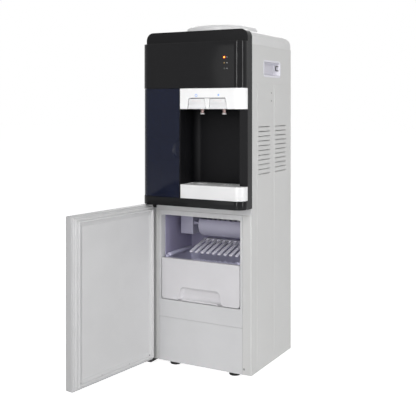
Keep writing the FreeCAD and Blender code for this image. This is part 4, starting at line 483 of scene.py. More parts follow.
@dataclass
class Skin:
    """A closed surface as arrays of points and faces, in millimetres."""

    points: list[Array] = field(default_factory=list)
    faces: list[Array] = field(default_factory=list)
    count: int = 0

    def add(self, points: Array) -> Array:
        """Store rows of points and return their numbers, in the same layout."""
        flat = points.reshape(-1, 3)
        numbers = np.arange(self.count, self.count + len(flat))
        self.points.append(flat)
        self.count += len(flat)
        return numbers.reshape(points.shape[:-1])

    def weave(self, numbers: Array, wrap_rows: bool = False, wrap_columns: bool = True) -> None:
        """Join neighbouring rows and columns of point numbers with quads."""
        rows = np.concatenate((numbers, numbers[:1])) if wrap_rows else numbers
        grid = np.concatenate((rows, rows[:, :1]), 1) if wrap_columns else rows
        quads = np.stack((grid[:-1, :-1], grid[:-1, 1:], grid[1:, 1:], grid[1:, :-1]), -1)
        self.faces.append(quads.reshape(-1, 4))

    def fill(self, loops: Sequence[Array], plane: Plane) -> None:
        """Fill a flat region; the first loop of point numbers is its edge, the others are holes."""
        everything = np.concatenate(self.points)
        axes = [*plane.value[:2], plane.value[2]]
        flat = [(everything[loop][:, axes] * (1, 1, 0)).tolist() for loop in loops]
        self.faces.append(np.concatenate(loops)[np.array(tessellate_polygon(flat), int)])


def lift(ring: Array, level: Array | float, plane: Plane) -> Array:
    """Points of a flat outline at a level along the plane's thickness."""
    first, second, third = plane.value
    points = np.empty((*ring.shape[:-1], 3))
    points[..., first] = ring[..., 0]
    points[..., second] = ring[..., 1]
    points[..., third] = level
    return points


def edge_path(low: float, high: float, low_edge: float, high_edge: float, steps: int = 3) -> Array:
    """Rows of (inset, level) up a wall whose two edges are rolled.

    Each roll is a quarter circle: inset is edge * (1 - sin a) and the level rises by edge * (1 - cos a).
    A further row a little inside each roll keeps the flat faces' shading flat.
    """
    angle = np.linspace(0, np.pi / 2, steps + 1)
    start = np.stack((low_edge * (1 - np.sin(angle)), low + low_edge * (1 - np.cos(angle))), 1)
    end = np.stack((high_edge * (1 - np.sin(angle)), high - high_edge * (1 - np.cos(angle))), 1)[::-1]
    hold = 0.3
    return np.concatenate(([[low_edge + hold, low]], start, end, [[high_edge + hold, high]]))


def slab(plane: Plane, outline: Outline | Disc, low: float, high: float, edge: float = 0.5,
         holes: Iterable[Outline | Disc] = (), low_edge: float | None = None) -> Skin:
    """A plate with rolled edges, between two levels of the plane's thickness, pierced by holes.

    Args:
        plane: the plane of the outline.
        outline: the plate's edge.
        low: lower level.
        high: upper level.
        edge: radius of the roll at the upper level, and at the lower unless low_edge says otherwise.
        holes: outlines of the holes; their rims are rolled too.
        low_edge: radius of the roll at the lower level.

    Returns:
        The closed skin.
    """
    skin = Skin()
    path = edge_path(low, high, edge if low_edge is None else low_edge, edge)
    floors, roofs = [], []
    for shape, side in [(outline, 1.0)] + [(hole, -1.0) for hole in holes]:
        numbers = skin.add(np.stack([lift(shape.ring(side * inset), level, plane) for inset, level in path]))
        skin.weave(numbers)
        floors.append(numbers[0])
        roofs.append(numbers[-1])
    skin.fill(floors, plane)
    skin.fill(roofs, plane)
    return skin


def wound(profile: Outline, centre: Sequence[float], axis: int = 2, count: int = 96) -> Skin:
    """A closed (radius, distance) profile carried round a line.

    Each point turns in a circle of its own radius: r cos a and r sin a across the line.

    Args:
        profile: the outline of the section, by its radius and its place along the line.
        centre: a point on the line.
        axis: the line's direction, 0 for x, 1 for y and 2 for z.
        count: points round the circle.

    Returns:
        The closed skin.
    """
    ring = profile.ring()
    angle = np.arange(count)[:, None] / count * 2 * np.pi
    rows = np.empty((count, len(ring), 3))
    rows[..., (axis + 1) % 3] = ring[:, 0] * np.cos(angle)
    rows[..., (axis + 2) % 3] = ring[:, 0] * np.sin(angle)
    rows[..., axis] = ring[:, 1] + 0 * angle
    skin = Skin()
    skin.weave(skin.add(rows + np.array(centre, float)), wrap_rows=True)
    return skin


def stacked(rings: Sequence[Array], plane: Plane = Plane.XY, closed: bool = False) -> Skin:
    """Rings of equal count joined one after another, closed by flat ends or by joining last to first."""
    skin = Skin()
    numbers = skin.add(np.stack(rings))
    skin.weave(numbers, wrap_rows=closed)
    if not closed:
        skin.fill([numbers[0]], plane)
        skin.fill([numbers[-1]], plane)
    return skin


def framed(plane: Plane, outline: Outline | Disc, profile: Sequence[tuple[float, float]],
           closed: bool = False) -> Skin:
    """An outline swept through (inset, level) steps: each step sets it in and lifts it."""
    return stacked([lift(outline.ring(inset), level, plane) for inset, level in profile], plane, closed)


def swept(path: Array, radius: float, count: int = 12) -> Skin:
    """A round bar along a path of points.

    Each section stands square to the mean of its two runs; its first direction is the path's plane normal.
    """
    steps = unit(np.gradient(path, axis=0))
    normal = np.cross(steps[0], steps[-1] + (0.01, 0.013, 0.017))
    side = unit(np.cross(steps, unit(normal)))
    other = np.cross(steps, side)
    angle = np.arange(count) / count * 2 * np.pi
    cosine, sine = np.cos(angle)[:, None], np.sin(angle)[:, None]
    rows = path[:, None] + radius * (side[:, None] * cosine + other[:, None] * sine)
    skin = Skin()
    numbers = skin.add(rows)
    skin.weave(numbers)
    for end in (numbers[0], numbers[-1]):
        skin.faces.append(np.stack((np.full(count - 2, end[0]), end[1:-1], end[2:]), 1))
    return skin


def moved(skin: Skin, change: Callable[[Array], Array]) -> Skin:
    """A skin with each of its points passed through a function of all points."""
    return Skin([change(points) for points in skin.points], skin.faces, skin.count)


def mirrored(skin: Skin) -> Skin:
    """The skin on the other side of the cabinet."""
    return moved(skin, lambda points: points * (-1, 1, 1))


# ---------------------------------------------------------------------- pieces

class Workshop:
    """Makes Blender objects of skins and of the frame's nodes, and dresses them."""

    merge_distance = 1e-6
    empty_distance = 1e-7
    carved_angle = 40.0

    def __init__(self, frame: dict[str, Any]) -> None:
        """Keep the frame and its slots."""
        self.frame = frame
        self.looks = Looks()
        record = frame["record"]
        self.slots = {part["node"]: part["material_slot"] for part in record["subparts"]}
        self.bodies = {node: body for body, nodes in record["behaviour"]["bodies"].items() for node in nodes}

    def finish_mesh(self, piece: bpy.types.Object, look: str, angle: float) -> None:
        """Smooth a piece's shading up to an angle and give it a material."""
        mesh = piece.data
        mesh.materials.clear()
        mesh.materials.append(self.looks[look])
        mesh.polygons.foreach_set("use_smooth", np.ones(len(mesh.polygons), bool))
        mesh.set_sharp_from_angle(angle=math.radians(angle))

    def seat(self, piece: bpy.types.Object, nodes: Sequence[str], replace: bool) -> None:
        """Let a piece ride on its first node's body and stand for its nodes."""
        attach(piece, self.bodies[nodes[0]])
        self.slots[nodes[0]]
        if replace:
            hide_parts(*nodes)
        LOG.info("%s: %d faces", piece.name, len(piece.data.polygons))

    def form(self, name: str, skins: Sequence[Skin]) -> bpy.types.Object:
        """An object of skins, its doubles merged and its faces turned outwards."""
        points, faces, count = [], [], 0
        for skin in skins:
            for rows in skin.faces:
                faces += (rows + count).tolist()
            points += skin.points
            count += skin.count
        mesh = bpy.data.meshes.new(name)
        mesh.from_pydata(np.concatenate(points) * MM, [], faces)
        self.merge(mesh, True)
        return placed(name, mesh)

    def merge(self, data: bpy.types.Mesh, mend: bool) -> None:
        """Merge a mesh's doubles; to mend it too, drop its empty faces and turn the rest outwards."""
        mesh = bmesh.new()
        mesh.from_mesh(data)
        bmesh.ops.remove_doubles(mesh, verts=mesh.verts, dist=self.merge_distance)
        if mend:
            bmesh.ops.dissolve_degenerate(mesh, dist=self.empty_distance, edges=mesh.edges)
            bmesh.ops.recalc_face_normals(mesh, faces=mesh.faces)
        mesh.to_mesh(data)
        mesh.free()

    def carve(self, piece: bpy.types.Object, cutters: Sequence[Skin]) -> None:
        """Take skins away from a piece's mesh."""
        tool = self.form(piece.name + "_cutter", cutters)
        change = piece.modifiers.new("carved", "BOOLEAN")
        change.operation, change.solver, change.object = "DIFFERENCE", "EXACT", tool
        change.use_self = True
        seen = piece.evaluated_get(bpy.context.evaluated_depsgraph_get())
        carved = bpy.data.meshes.new_from_object(seen)
        piece.modifiers.clear()
        old, piece.data = piece.data, carved
        bpy.data.meshes.remove(old)
        waste = tool.data
        bpy.data.objects.remove(tool)
        bpy.data.meshes.remove(waste)

    def make(self, name: str, skins: Sequence[Skin], look: str, nodes: Sequence[str], replace: bool = True,
             angle: float = 32.0, cutters: Sequence[Skin] = (), roll: float = 0.0) -> None:
        """Make a piece of skins that stands for nodes, or only follows the first of them.

        Args:
            name: the piece's name.
            skins: its closed skins, in millimetres.
            look: the finish.
            nodes: the nodes it stands for; the first gives its body.
            replace: whether the nodes are hidden.
            angle: edges flatter than this are shaded smooth.
            cutters: closed skins that are taken away.
            roll: width of the roll that finishes the carved edges, in millimetres.
        """
        piece = self.form(name, skins)
        if cutters:
            self.carve(piece, cutters)
        self.finish_mesh(piece, look, angle)
        if roll > 0:
            self.roll_edges(piece, roll, self.carved_angle)
        self.seat(piece, nodes, replace)

    def roll_edges(self, piece: bpy.types.Object, width: float, angle: float) -> None:
        """Add a bevel on a piece's sharp edges, and even its shading."""
        roll = piece.modifiers.new("rolled_edges", "BEVEL")
        roll.width, roll.segments = width * MM, 2
        roll.limit_method, roll.angle_limit = "ANGLE", math.radians(angle)
        even = piece.modifiers.new("even_shading", "WEIGHTED_NORMAL")
        even.keep_sharp = True

    def soften(self, node: str, look: str, edge: float = 0.5, angle: float = 30.0) -> None:
        """A merged copy of a node whose sharp edges are rolled.

        Args:
            node: the node that the copy stands for.
            look: the finish.
            edge: width of the roll, in millimetres.
            angle: edges sharper than this are rolled.
        """
        source = self.frame["nodes"][node]
        piece = placed(node + "_moulding", source.data.copy())
        self.merge(piece.data, False)
        for attribute in list(piece.data.attributes):
            if attribute.name == "custom_normal":
                piece.data.attributes.remove(attribute)
        self.finish_mesh(piece, look, angle)
        if edge > 0:
            self.roll_edges(piece, edge, angle)
        self.seat(piece, [node], True)

    def dress(self, look: str, *nodes: str) -> None:
        """Give CAD nodes that keep their shape a finish."""
        for node in nodes:
            piece = self.frame["nodes"][node]
            piece.data.materials.clear()
            piece.data.materials.append(self.looks[look])


# ---------------------------------------------------------------------- studio

@dataclass
class Studio:
    """Camera, floor, world and lamps.

    A strip is its name, its angle to the right of the front, its width and its watts; a lamp is its name, its
    place, what it points at, its two sides and its watts.
    """

    camera_place: tuple[float, float, float] = (1.0712, -2.0451, 0.7622)
    camera_turn: float = 28.75
    lens: float = 65.83
    sensor: float = 36.0
    shift: float = -0.2452
    world_light: float = 0.285
    strips: tuple[tuple[str, float, float, float], ...] = (
        ("front_strip", 15.0, 0.16, 28.0), ("side_strip", 78.0, 0.28, 26.0))
    strip_distance: float = 2.6
    strip_level: float = 1.35
    strip_length: float = 2.5
    lamps: tuple[tuple[Any, ...], ...] = (
        ("key_lamp", (0.9, -2.7, 2.7), (0.0, 0.0, 0.5), (0.8, 0.8), 16.0),
        ("soft_edge", (-1.15, -3.15, 1.0), (-1.15, 0.0, 1.0), (0.55, 1.7), 3.5),
        ("back_lamp", (-1.2, 2.6, 2.0), (0.0, 0.0, 0.5), (1.6, 1.6), 20.0))
    floor_reach: float = 20.0
    floor_colour: Colour = (0.85, 0.85, 0.85)
    floor_glow: float = 0.76

    def camera(self) -> None:
        """A level camera fitted to the photograph's view."""
        data = bpy.data.cameras.new("view_camera")
        data.lens, data.sensor_width, data.shift_y = self.lens, self.sensor, self.shift
        data.clip_end = 60.0
        view = placed("view_camera", data)
        view.location = self.camera_place
        view.rotation_euler = (math.pi / 2, 0.0, math.radians(self.camera_turn))
        bpy.context.scene.camera = view

    def world(self) -> None:
        """Soft grey light all round, which the camera and reflections see as white."""
        graph = Graph(bpy.data.worlds.new("studio_world"), "ShaderNodeOutputWorld")
        rays = graph.node("ShaderNodeLightPath").outputs
        seen = graph.term(rays["Is Camera Ray"]).math("MAXIMUM", rays["Is Glossy Ray"])
        pick = graph.node("ShaderNodeMix", {"data_type": "FLOAT"}, {
            0: seen.math("MAXIMUM", rays["Is Transmission Ray"]), 2: self.world_light, 3: 1.0})
        light = graph.node("ShaderNodeBackground", None, {
            "Color": (1.0, 1.0, 1.0, 1.0), "Strength": pick.outputs[0]})
        bpy.context.scene.world = graph.surface(light)

    def lamp(self, name: str, place: Sequence[float], aim: Sequence[float], size: tuple[float, float],
             power: float) -> None:
        """An oblong soft lamp that points at a place."""
        data = bpy.data.lights.new(name, "AREA")
        data.shape, data.size, data.size_y, data.energy = "RECTANGLE", *size, power
        lamp = placed(name, data)
        lamp.location = place
        lamp.rotation_euler = (Vector(aim) - Vector(place)).to_track_quat("-Z", "Y").to_euler()

    def floor(self) -> None:
        """A wide pale floor that fades into the white background but keeps the shadow."""
        data = bpy.data.meshes.new("studio_floor")
        reach = self.floor_reach
        data.from_pydata([(-reach, -reach, 0), (reach, -reach, 0), (reach, reach, 0), (-reach, reach, 0)], [],
                         [(0, 1, 2, 3)])
        ground = placed("studio_floor", data)
        graph = Graph(bpy.data.materials.new("floor_paper"))
        path = graph.node("ShaderNodeLightPath")
        paper = graph.node("ShaderNodeBsdfDiffuse", None, {"Color": (*self.floor_colour, 1.0)})
        seen = graph.term(path.outputs["Is Camera Ray"]) + graph.term(path.outputs["Is Glossy Ray"])
        glow = graph.node("ShaderNodeEmission", None, {
            "Color": (1.0, 1.0, 1.0, 1.0), "Strength": seen * self.floor_glow})
        both = graph.node("ShaderNodeAddShader", None, {0: paper.outputs[0], 1: glow.outputs[0]})
        data.materials.append(graph.surface(both))

    def build(self) -> None:
        """Make all of it."""
        self.camera()
        self.world()
        self.floor()
        for name, angle, width, power in self.strips:
            turn = math.radians(angle)
            place = (self.strip_distance * math.sin(turn), -self.strip_distance * math.cos(turn), self.strip_level)
            self.lamp(name, place, (0.0, 0.0, self.strip_level), (width, self.strip_length), power)
        for lamp in self.lamps:
            self.lamp(*lamp)


# ---------------------------------------------------------------- the assembly

@dataclass
class Casing:
    """Top cover, bottle collar, side panels' details, handle cups, back and base."""

    shop: Workshop
    half: float = 165.0
    back: float = 139.0
    shell_top: float = 934.0
    cover_top: float = 973.0
    side_round: float = 22.0
    back_round: float = 33.0
    lid_wall: float = 3.0
    lid_core: float = 0.8
    seat: tuple[float, float] = (0.0, -4.0)
    seat_plate: float = 118.0
    bore: float = 84.0
    collar: float = 107.0
    collar_top: float = 997.6
    louvre_low: float = 565.0
    louvre_pitch: float = 13.4
    louvre_rows: int = 11
    louvre_columns: tuple[tuple[float, float], ...] = ((-98.0, -17.5), (19.5, 100.0))
    louvre_depth: float = 2.6
    louvre_height: float = 4.9
    louvre_wall: float = 0.8
    sheet: float = 164.3
    cup_y: tuple[float, float] = (-58.0, 55.0)
    cup_z: tuple[float, float] = (850.0, 890.0)
    cup_depth: float = 22.0
    # Place, radius and end of the black C-shaped bar that paints the shade of a hole at the funnel's end.
    hole_shade: tuple[float, float] = (40.0, 873.5)
    hole_shade_radius: float = 6.5
    hole_shade_end: float = 53.0
    side_screws: tuple[float, float] = (777.0, 800.0)
    side_screw_y: float = -6.5
    back_screws: tuple[tuple[float, float], ...] = ((153.0, 155.0), (153.0, 922.0))
    front_screw: tuple[float, float, float] = (142.0, -143.0, 30.0)
    foot: tuple[float, float] = (98.0, 112.0)
    foot_radius: float = 16.5

    def build(self) -> None:
        """Make every piece of the casing."""
        shop = self.shop
        self.cover()
        collar = Outline(((self.bore, self.cover_top), (self.collar, self.cover_top), (self.collar, 989.5),
                          (103.5, 994.5), (97.0, self.collar_top), (self.bore, self.collar_top)),
                         (0.3, 0.5, 3.5, 5.0, 4.0, 0.8))
        shop.make("bottle_collar_ring", [wound(collar, (*self.seat, 0.0))], "collar_plastic", ["bottle_collar"])
        shop.soften("bottle_seat", "white_plastic", 0.5)
        for node, edge in (("side_panel_left", 0.65), ("side_panel_right", 0.65), ("rear_panel", 0.35),
                           ("rear_grille", 0.35)):
            shop.soften(node, "casing_paint", edge)
        self.louvres()
        self.handle_cups()
        self.screws()
        self.feet()
        for node in ("kick_panel", "cross_rail"):
            shop.soften(node, "frame_plastic", 0.2)
        shop.dress("bare_steel", "base_pan", "divider_deck")

    def cover(self) -> None:
        """The lid: rings that draw in as they climb.

        Over the height z, the back draws in by R(1 - cos a) with R sin a = z - (top - R), the sides likewise
        with their own smaller R, and the round of the rear corners grows with both.
        """
        z = np.concatenate(([self.shell_top], self.cover_top - self.back_round
                            + self.back_round * np.sin(np.linspace(0, np.pi / 2, 15))))
        side_rise = ((z - self.cover_top + self.side_round) / self.side_round).clip(0, 1)
        back_rise = ((z - self.cover_top + self.back_round) / self.back_round).clip(0, 1)
        side_in = self.side_round * (1 - np.sqrt(1 - side_rise ** 2))
        back_in = self.back_round * (1 - np.sqrt(1 - back_rise ** 2))
        rings = [self.lid_ring(side, end, level) for side, end, level in zip(side_in, back_in, z)]
        plan = rings[-1][:, :2] - np.array(self.seat)
        for radius, level in ((self.seat_plate, 0.0), (self.bore + 1.5, 0.0), (self.bore, -1.0), (self.bore, -3.0)):
            circle = np.array(self.seat) + unit(plan) * radius
            rings.append(lift(circle, self.cover_top + level, Plane.XY))
        wall = self.lid_wall
        inner = self.lid_ring(wall, wall, self.cover_top - wall)
        rings += [inner * (self.lid_core, self.lid_core, 1), inner - (0, 0, self.side_round),
                  self.lid_ring(wall, wall, self.shell_top)]
        self.shop.make("cover_shell", [stacked(rings, closed=True)], "cover_plastic", ["top_cover"], angle=45.0)

    def lid_ring(self, side: float, end: float, level: float) -> Array:
        """One ring of the lid, drawn in at its sides and its back."""
        x, back, front = self.half - side, self.back - end, -self.back
        corner = 5.0 + 0.7 * min(side * 1.6, end)
        shape = block((-x, x), (front, back), (0.5, 0.5, corner, corner), 10)
        return lift(shape.ring(), level, Plane.XY)

    def louvres(self) -> None:
        """Pressed scoops that close each slot but for its top.

        The depth grows as v^2.5 up the scoop and falls off at both ends as 1 - |2u - 1|^12.
        """
        u = np.linspace(0, 1, 21)[None, :]
        v = np.linspace(0, 1, 7)[:, None]
        share = 1 - np.abs(2 * u - 1) ** 12
        depth = self.louvre_depth * v ** 2.5 * share
        height = -1.2 + self.louvre_height * v + 0 * u
        for side, name in ((1, "right"), (-1, "left")):
            skins = []
            for low, high in self.louvre_columns:
                for row in range(self.louvre_rows):
                    level = self.louvre_low + row * self.louvre_pitch + height
                    along = low - 0.4 + (high - low + 0.8) * u + 0 * v
                    outer = np.stack((self.half - 0.35 - depth, along, level), -1)
                    inner = outer - (self.louvre_wall, 0, 0)
                    skins.append(self.scoop(outer, inner, side))
            self.shop.make(f"louvre_scoops_{name}", skins, "casing_paint", [f"side_panel_{name}"], replace=False,
                           angle=60.0)

    def scoop(self, outer: Array, inner: Array, side: int) -> Skin:
        """Two sheets of points joined along their edges."""
        skin = Skin()
        numbers = [skin.add(sheet * (side, 1, 1)) for sheet in (outer, inner)]
        for sheet in numbers:
            skin.weave(sheet, wrap_columns=False)
        rims = [np.concatenate((sheet[0, :-1], sheet[:-1, -1], sheet[-1, :0:-1], sheet[:0:-1, 0]))
                for sheet in numbers]
        skin.weave(np.stack(rims))
        return skin

    def handle_cups(self) -> None:
        """A proud frame round each hole and a funnel behind it, with a black C-shaped bar at the funnel's end:
        painted shade of a hole there.
        """
        outline = block(self.cup_y, self.cup_z, 6.0, 6)
        face, sheet, floor = self.half, self.sheet, self.half - self.cup_depth
        skin = framed(Plane.YZ, outline, [
            (8.0, floor), (3.0, floor), (0.4, floor + 1.2), (0.2, face - 2.5), (0.2, sheet - 0.2), (0.2, sheet),
            (-4.5, sheet), (-4.5, face - 0.2), (-4.2, face), (-1.0, face), (0.3, face - 0.3), (1.2, face - 1.5),
            (3.0, floor + 6.0), (4.0, floor + 2.5), (6.0, floor + 1.0), (8.0, floor + 0.8)])
        self.shop.make("handle_recess", [skin, mirrored(skin)], "cup_plastic", ["handle_cups"], angle=50.0)
        # A black C-shaped bar: painted shade of the hole at the funnel's end.
        angle = np.linspace(math.radians(90), math.radians(270), 19)
        (y, z), radius = self.hole_shade, self.hole_shade_radius
        arc = np.stack((y + radius * np.cos(angle), z + radius * np.sin(angle)), 1)
        path = np.concatenate(([(self.hole_shade_end, z + radius)], arc, [(self.hole_shade_end, z - radius)]))
        loop = swept(np.column_stack((np.full(len(path), face - 5.5), path)), 1.6)
        self.shop.make("handle_hole_shade", [loop, mirrored(loop)], "switch_plastic", ["handle_cups"], replace=False)

    def screw(self, centre: Sequence[float], radius: float, axis: int, way: int, rise: float) -> tuple[Skin, Skin]:
        """A pan head and the cross that is cut into it, on a face square to an axis.

        Each point of the cross is the one three before it, a quarter turn on.
        """
        head = Outline(((0.05, 0.0), (radius, 0.0), (radius, rise * 0.45), (radius * 0.6, rise), (0.05, rise)),
                       (0.02, 0.05, rise * 0.3, rise * 0.3, 0.02))
        turned = wound(head, (0.0, 0.0, 0.0), axis, 24)
        arm, width = radius * 0.55, radius * 0.16
        cross = [(-arm, -width), (-width, -width), (-width, -arm)]
        for _ in range(9):
            u, v = cross[-3]
            cross.append((-v, u))
        plane = {0: Plane.YZ, 1: Plane.XZ, 2: Plane.XY}[axis]
        cut = slab(plane, Outline(tuple(cross), (0.03,) * 12, 1), rise * 0.35, rise + 1.0, 0.01)
        scale = np.ones(3)
        scale[axis] = way
        place = np.array(centre, float)
        return tuple(moved(skin, lambda points: points * scale + place) for skin in (turned, cut))

    def screws(self) -> None:
        """Pan heads on the sides, the back and the kick panel."""
        heads = []
        for way in (-1, 1):
            for level in self.side_screws:
                heads.append(self.screw((way * self.sheet, self.side_screw_y, level), 2.4, 0, way, 0.9))
            for x, level in self.back_screws:
                heads.append(self.screw((way * x, self.back, level), 3.4, 1, 1, 1.7))
        heads.append(self.screw(self.front_screw, 3.2, 1, -1, 0.3))
        self.shop.make("casing_screw_heads", [head for head, _ in heads], "screw_steel", ["casing_screws"],
                       cutters=[cut for _, cut in heads])

    def feet(self) -> None:
        """Round pads with a waist and a threaded neck."""
        radius, (aside, ahead) = self.foot_radius, self.foot
        profile = Outline(((0.5, 0.0), (radius, 0.0), (radius, 8.5), (11.0, 10.5), (9.5, 14.0), (0.5, 14.0)),
                          (0.2, 2.5, 2.5, 2.0, 0.5, 0.2), 5)
        pads = [wound(profile, (x, y, 0.0), 2, 48) for x in (-aside, aside) for y in (-ahead, ahead)]
        self.shop.make("levelling_feet", pads, "foot_rubber", ["feet"])


@dataclass
class DarkFront:
    """Plate, fascia with its lamps, strip, tap panel with keys, alcove, cup door and drip tray.

    Pairs are low and high, or left and right. The marks are places of the hot and the cold key's mark, and a
    key's span is its name, its two ends, and the side to which its outer end slants.
    """

    shop: Workshop
    half: float = 165.0
    plate_face: float = -167.0
    face: float = -199.0
    corner: float = 28.0
    strip: tuple[float, float] = (478.0, 502.0)
    tray_low: float = 502.5
    tray_top: float = 541.0
    tray_wall: float = 3.0
    tray_rim: float = 1.2
    tray_corner: float = 20.0
    slot_shares: tuple[float, ...] = (-0.45, -0.29, -0.233, -0.175, 0.175, 0.233, 0.29, 0.45)
    slot_half: float = 3.5
    slot_y: tuple[float, float] = (-172.0, -142.0)
    panel: tuple[float, float] = (753.5, 812.0)
    fascia_top: float = 941.0
    alcove: tuple[float, float] = (-32.0, 140.0)
    alcove_back: float = -109.0
    tap_middle: float = 54.0
    recess_top: float = 785.0
    key_height: float = 29.6
    key_spans: tuple[tuple[str, float, float, int], ...] = (("hot", -2.7, 44.3, -1), ("cold", 63.7, 110.2, 1))
    marks: tuple[tuple[float, float], tuple[float, float]] = ((20.5, 791.5), (91.0, 792.5))
    taps: tuple[float, float] = (19.0, 89.0)
    tap_y: float = -159.5
    lamp_x: float = 109.0
    lamps: tuple[float, float, float] = (896.0, 880.5, 865.0)
    lens: float = 2.3
    lamp_rim: float = 3.3
    mark_gap: float = 8.5
    pane: tuple[float, float] = (-164.0, -35.5)
    pane_face: float = -197.5
    pane_end: float = -168.2
    pane_wall: float = 3.0
    dimple: tuple[float, float] = (26.0, 640.5)

    def build(self) -> None:
        """Make every piece of the front."""
        self.covers()
        self.lamp_row()
        self.tap_panel()
        self.keys()
        self.nozzles()
        self.lining()
        self.cup_side()
        self.tray()

    def bulge(self, left: float, right: float, left_round: float = 0.3) -> Outline:
        """The outline of a raised cover from above."""
        return block((left, right), (self.face, self.plate_face), (left_round, self.corner, 0.3, 0.3), 20)

    def covers(self) -> None:
        """Plate, fascia and strip."""
        shop = self.shop
        shop.soften("front_plate", "bezel_gloss", 1.2)
        shop.make("fascia_cover", [slab(Plane.XY, self.bulge(-self.half, self.half, self.corner), self.panel[1],
                                        self.fascia_top, 1.0, low_edge=0.4)], "dark_gloss", ["upper_fascia"])
        shop.make("strip_cover", [slab(Plane.XY, self.bulge(-self.half, self.half, self.corner), *self.strip, 0.4,
                                       low_edge=1.2)], "dark_gloss", ["lower_strip"])

    def lamp_row(self) -> None:
        """Three domed lenses in thin rims, each with a small plain mark beside it."""
        shop = self.shop
        lens, gap, outer = self.lens, self.lens + 0.05, self.lamp_rim
        dome = Outline(((0.05, 5.0), (lens, 5.0), (lens, -0.1), (1.4, -0.4), (0.05, -0.4)),
                       (0.02, 0.1, 0.5, 0.5, 0.02))
        rim = block((gap, outer), (3.0, -0.25), (0.1, 0.1, 0.2, 0.2))
        for k, (level, look) in enumerate(zip(self.lamps, ("lamp_red", "lamp_amber", "lamp_grey"))):
            centre = (self.lamp_x, self.face, level)
            shop.make(f"lamp_lens_{k + 1}", [wound(dome, centre, 1, 32)], look, ["indicator_lamps"])
            # The first rim glows in the lit lens's red: painted glow of the lamp on its rim; the other rims are
            # dark.
            shop.make(f"lamp_rim_{k + 1}", [wound(rim, centre, 1, 32)], "dark_satin" if k else "lamp_red",
                      ["indicator_lamps"], replace=False)
            if k == 0:
                core = wound(Outline(((0.05, 0.2), (1.7, 0.2), (1.7, -0.5), (0.05, -0.75)), (0.02, 0.1, 0.2, 0.02)),
                             centre, 1, 24)
                shop.make("lamp_core", [core], "lamp_yellow", ["indicator_lamps"], replace=False)
            mark = moved(slab(Plane.XZ, Disc((0.0, 0.0), 1.5, 24), -0.15, 0.1, 0.08),
                         lambda points: points * (0.75, 1.0, 1.15) + (self.lamp_x + self.mark_gap, self.face, level))
            shop.make(f"lamp_mark_{k + 1}", [mark], "icon_white", ["indicator_lamps"], replace=False)

    def tap_panel(self) -> None:
        """The white panel with the keys' recess, the post between the keys and two plain marks."""
        shop, (low, high), top = self.shop, self.panel, self.recess_top
        body = slab(Plane.XY, self.bulge(self.alcove[0], self.half), low, high - 0.5, 1.0)
        recess = slab(Plane.XZ, Outline(((-11.0, low - 5), (119.0, low - 5), (113.0, top), (-5.0, top)),
                                        (0.3, 0.3, 4.0, 4.0)), self.face - 3, self.face + 24, 0.2)
        shop.make("tap_panel_cover", [body], "white_plastic", ["tap_panel"], cutters=[recess], roll=0.6)
        backing = slab(Plane.XZ, Outline(((-13.0, low + 0.5), (121.0, low + 0.5), (114.0, top + 2), (-6.0, top + 2)),
                                         (0.5,) * 4), self.face + 14, self.face + 16, 0.2)
        shop.make("key_backing", [backing], "dark_satin", ["tap_panel"], replace=False)
        post = Outline(((-3.2, low + 0.3), (3.2, low + 0.3), (8.5, top - 1.3), (-8.5, top - 1.3)),
                       (0.8, 0.8, 0.3, 0.3))
        shop.make("tap_panel_post", [moved(slab(Plane.XZ, post, self.face + 2.0, self.face + 13.5, 1.0),
                                           lambda points: points + (self.tap_middle, 0, 0))],
                  "white_plastic", ["tap_panel"], replace=False)
        (hot_x, hot_z), cold = self.marks
        dot = slab(Plane.XZ, Disc(cold, 2.9, 32), self.face - 0.15, self.face + 0.2, 0.1)
        shop.make("cold_mark", [dot], "icon_blue", ["tap_panel"], replace=False)
        ring = wound(block((2.6, 4.2), (-0.15, 0.2), 0.05, 2), (hot_x, self.face, hot_z), 1, 32)
        shop.make("hot_mark", [ring], "icon_pale", ["tap_panel"], replace=False)

    def keys(self) -> None:
        """Two curved keys: full at the top, hollow below, with a lip that turns out."""
        face, low, height = self.face, self.panel[0], self.key_height
        profile = Outline((
            (face + 5.5, low + 0.8), (face + 3.0, low + 0.5), (face + 2.2, low + 1.8), (face + 5.0, low + 7.0),
            (face + 4.2, low + 13.0), (face + 0.8, low + 19.0), (face + 1.2, low + 28.0), (face + 4.0, low + height),
            (face + 10.0, low + height), (face + 10.0, low + 22.0), (face + 6.5, low + 15.0),
            (face + 8.5, low + 7.0),
        )[::-1], (3.0, 3.0, 0.5, 0.5, 2.5, 3.0, 4.0, 3.0, 3.0, 0.5, 0.8, 0.8), 5)
        for name, left, right, slant in self.key_spans:
            def lean(points: Array) -> Array:
                """Slant the ends with the recess and the post: the width grows outwards towards the bottom."""
                drop = (low + height - points[:, 2]) / height
                middle = (left + right) / 2
                outer = np.sign(points[:, 0] - middle) == slant
                return points + np.stack((slant * np.where(outer, 5.5, -4.7) * drop, 0 * drop, 0 * drop), 1)
            body = moved(slab(Plane.YZ, profile, left, right, 1.0), lean)
            self.shop.make(f"{name}_key_blade", [body], "key_plastic", [f"{name}_key"], angle=40.0)
            line = slab(Plane.XZ, block((left + 9, right - 9), (low + 22.2, low + 23.4), 0.5), face + 0.45,
                        face + 1.4, 0.1)
            self.shop.make(f"{name}_key_line", [line], "icon_red", [f"{name}_key"], replace=False)

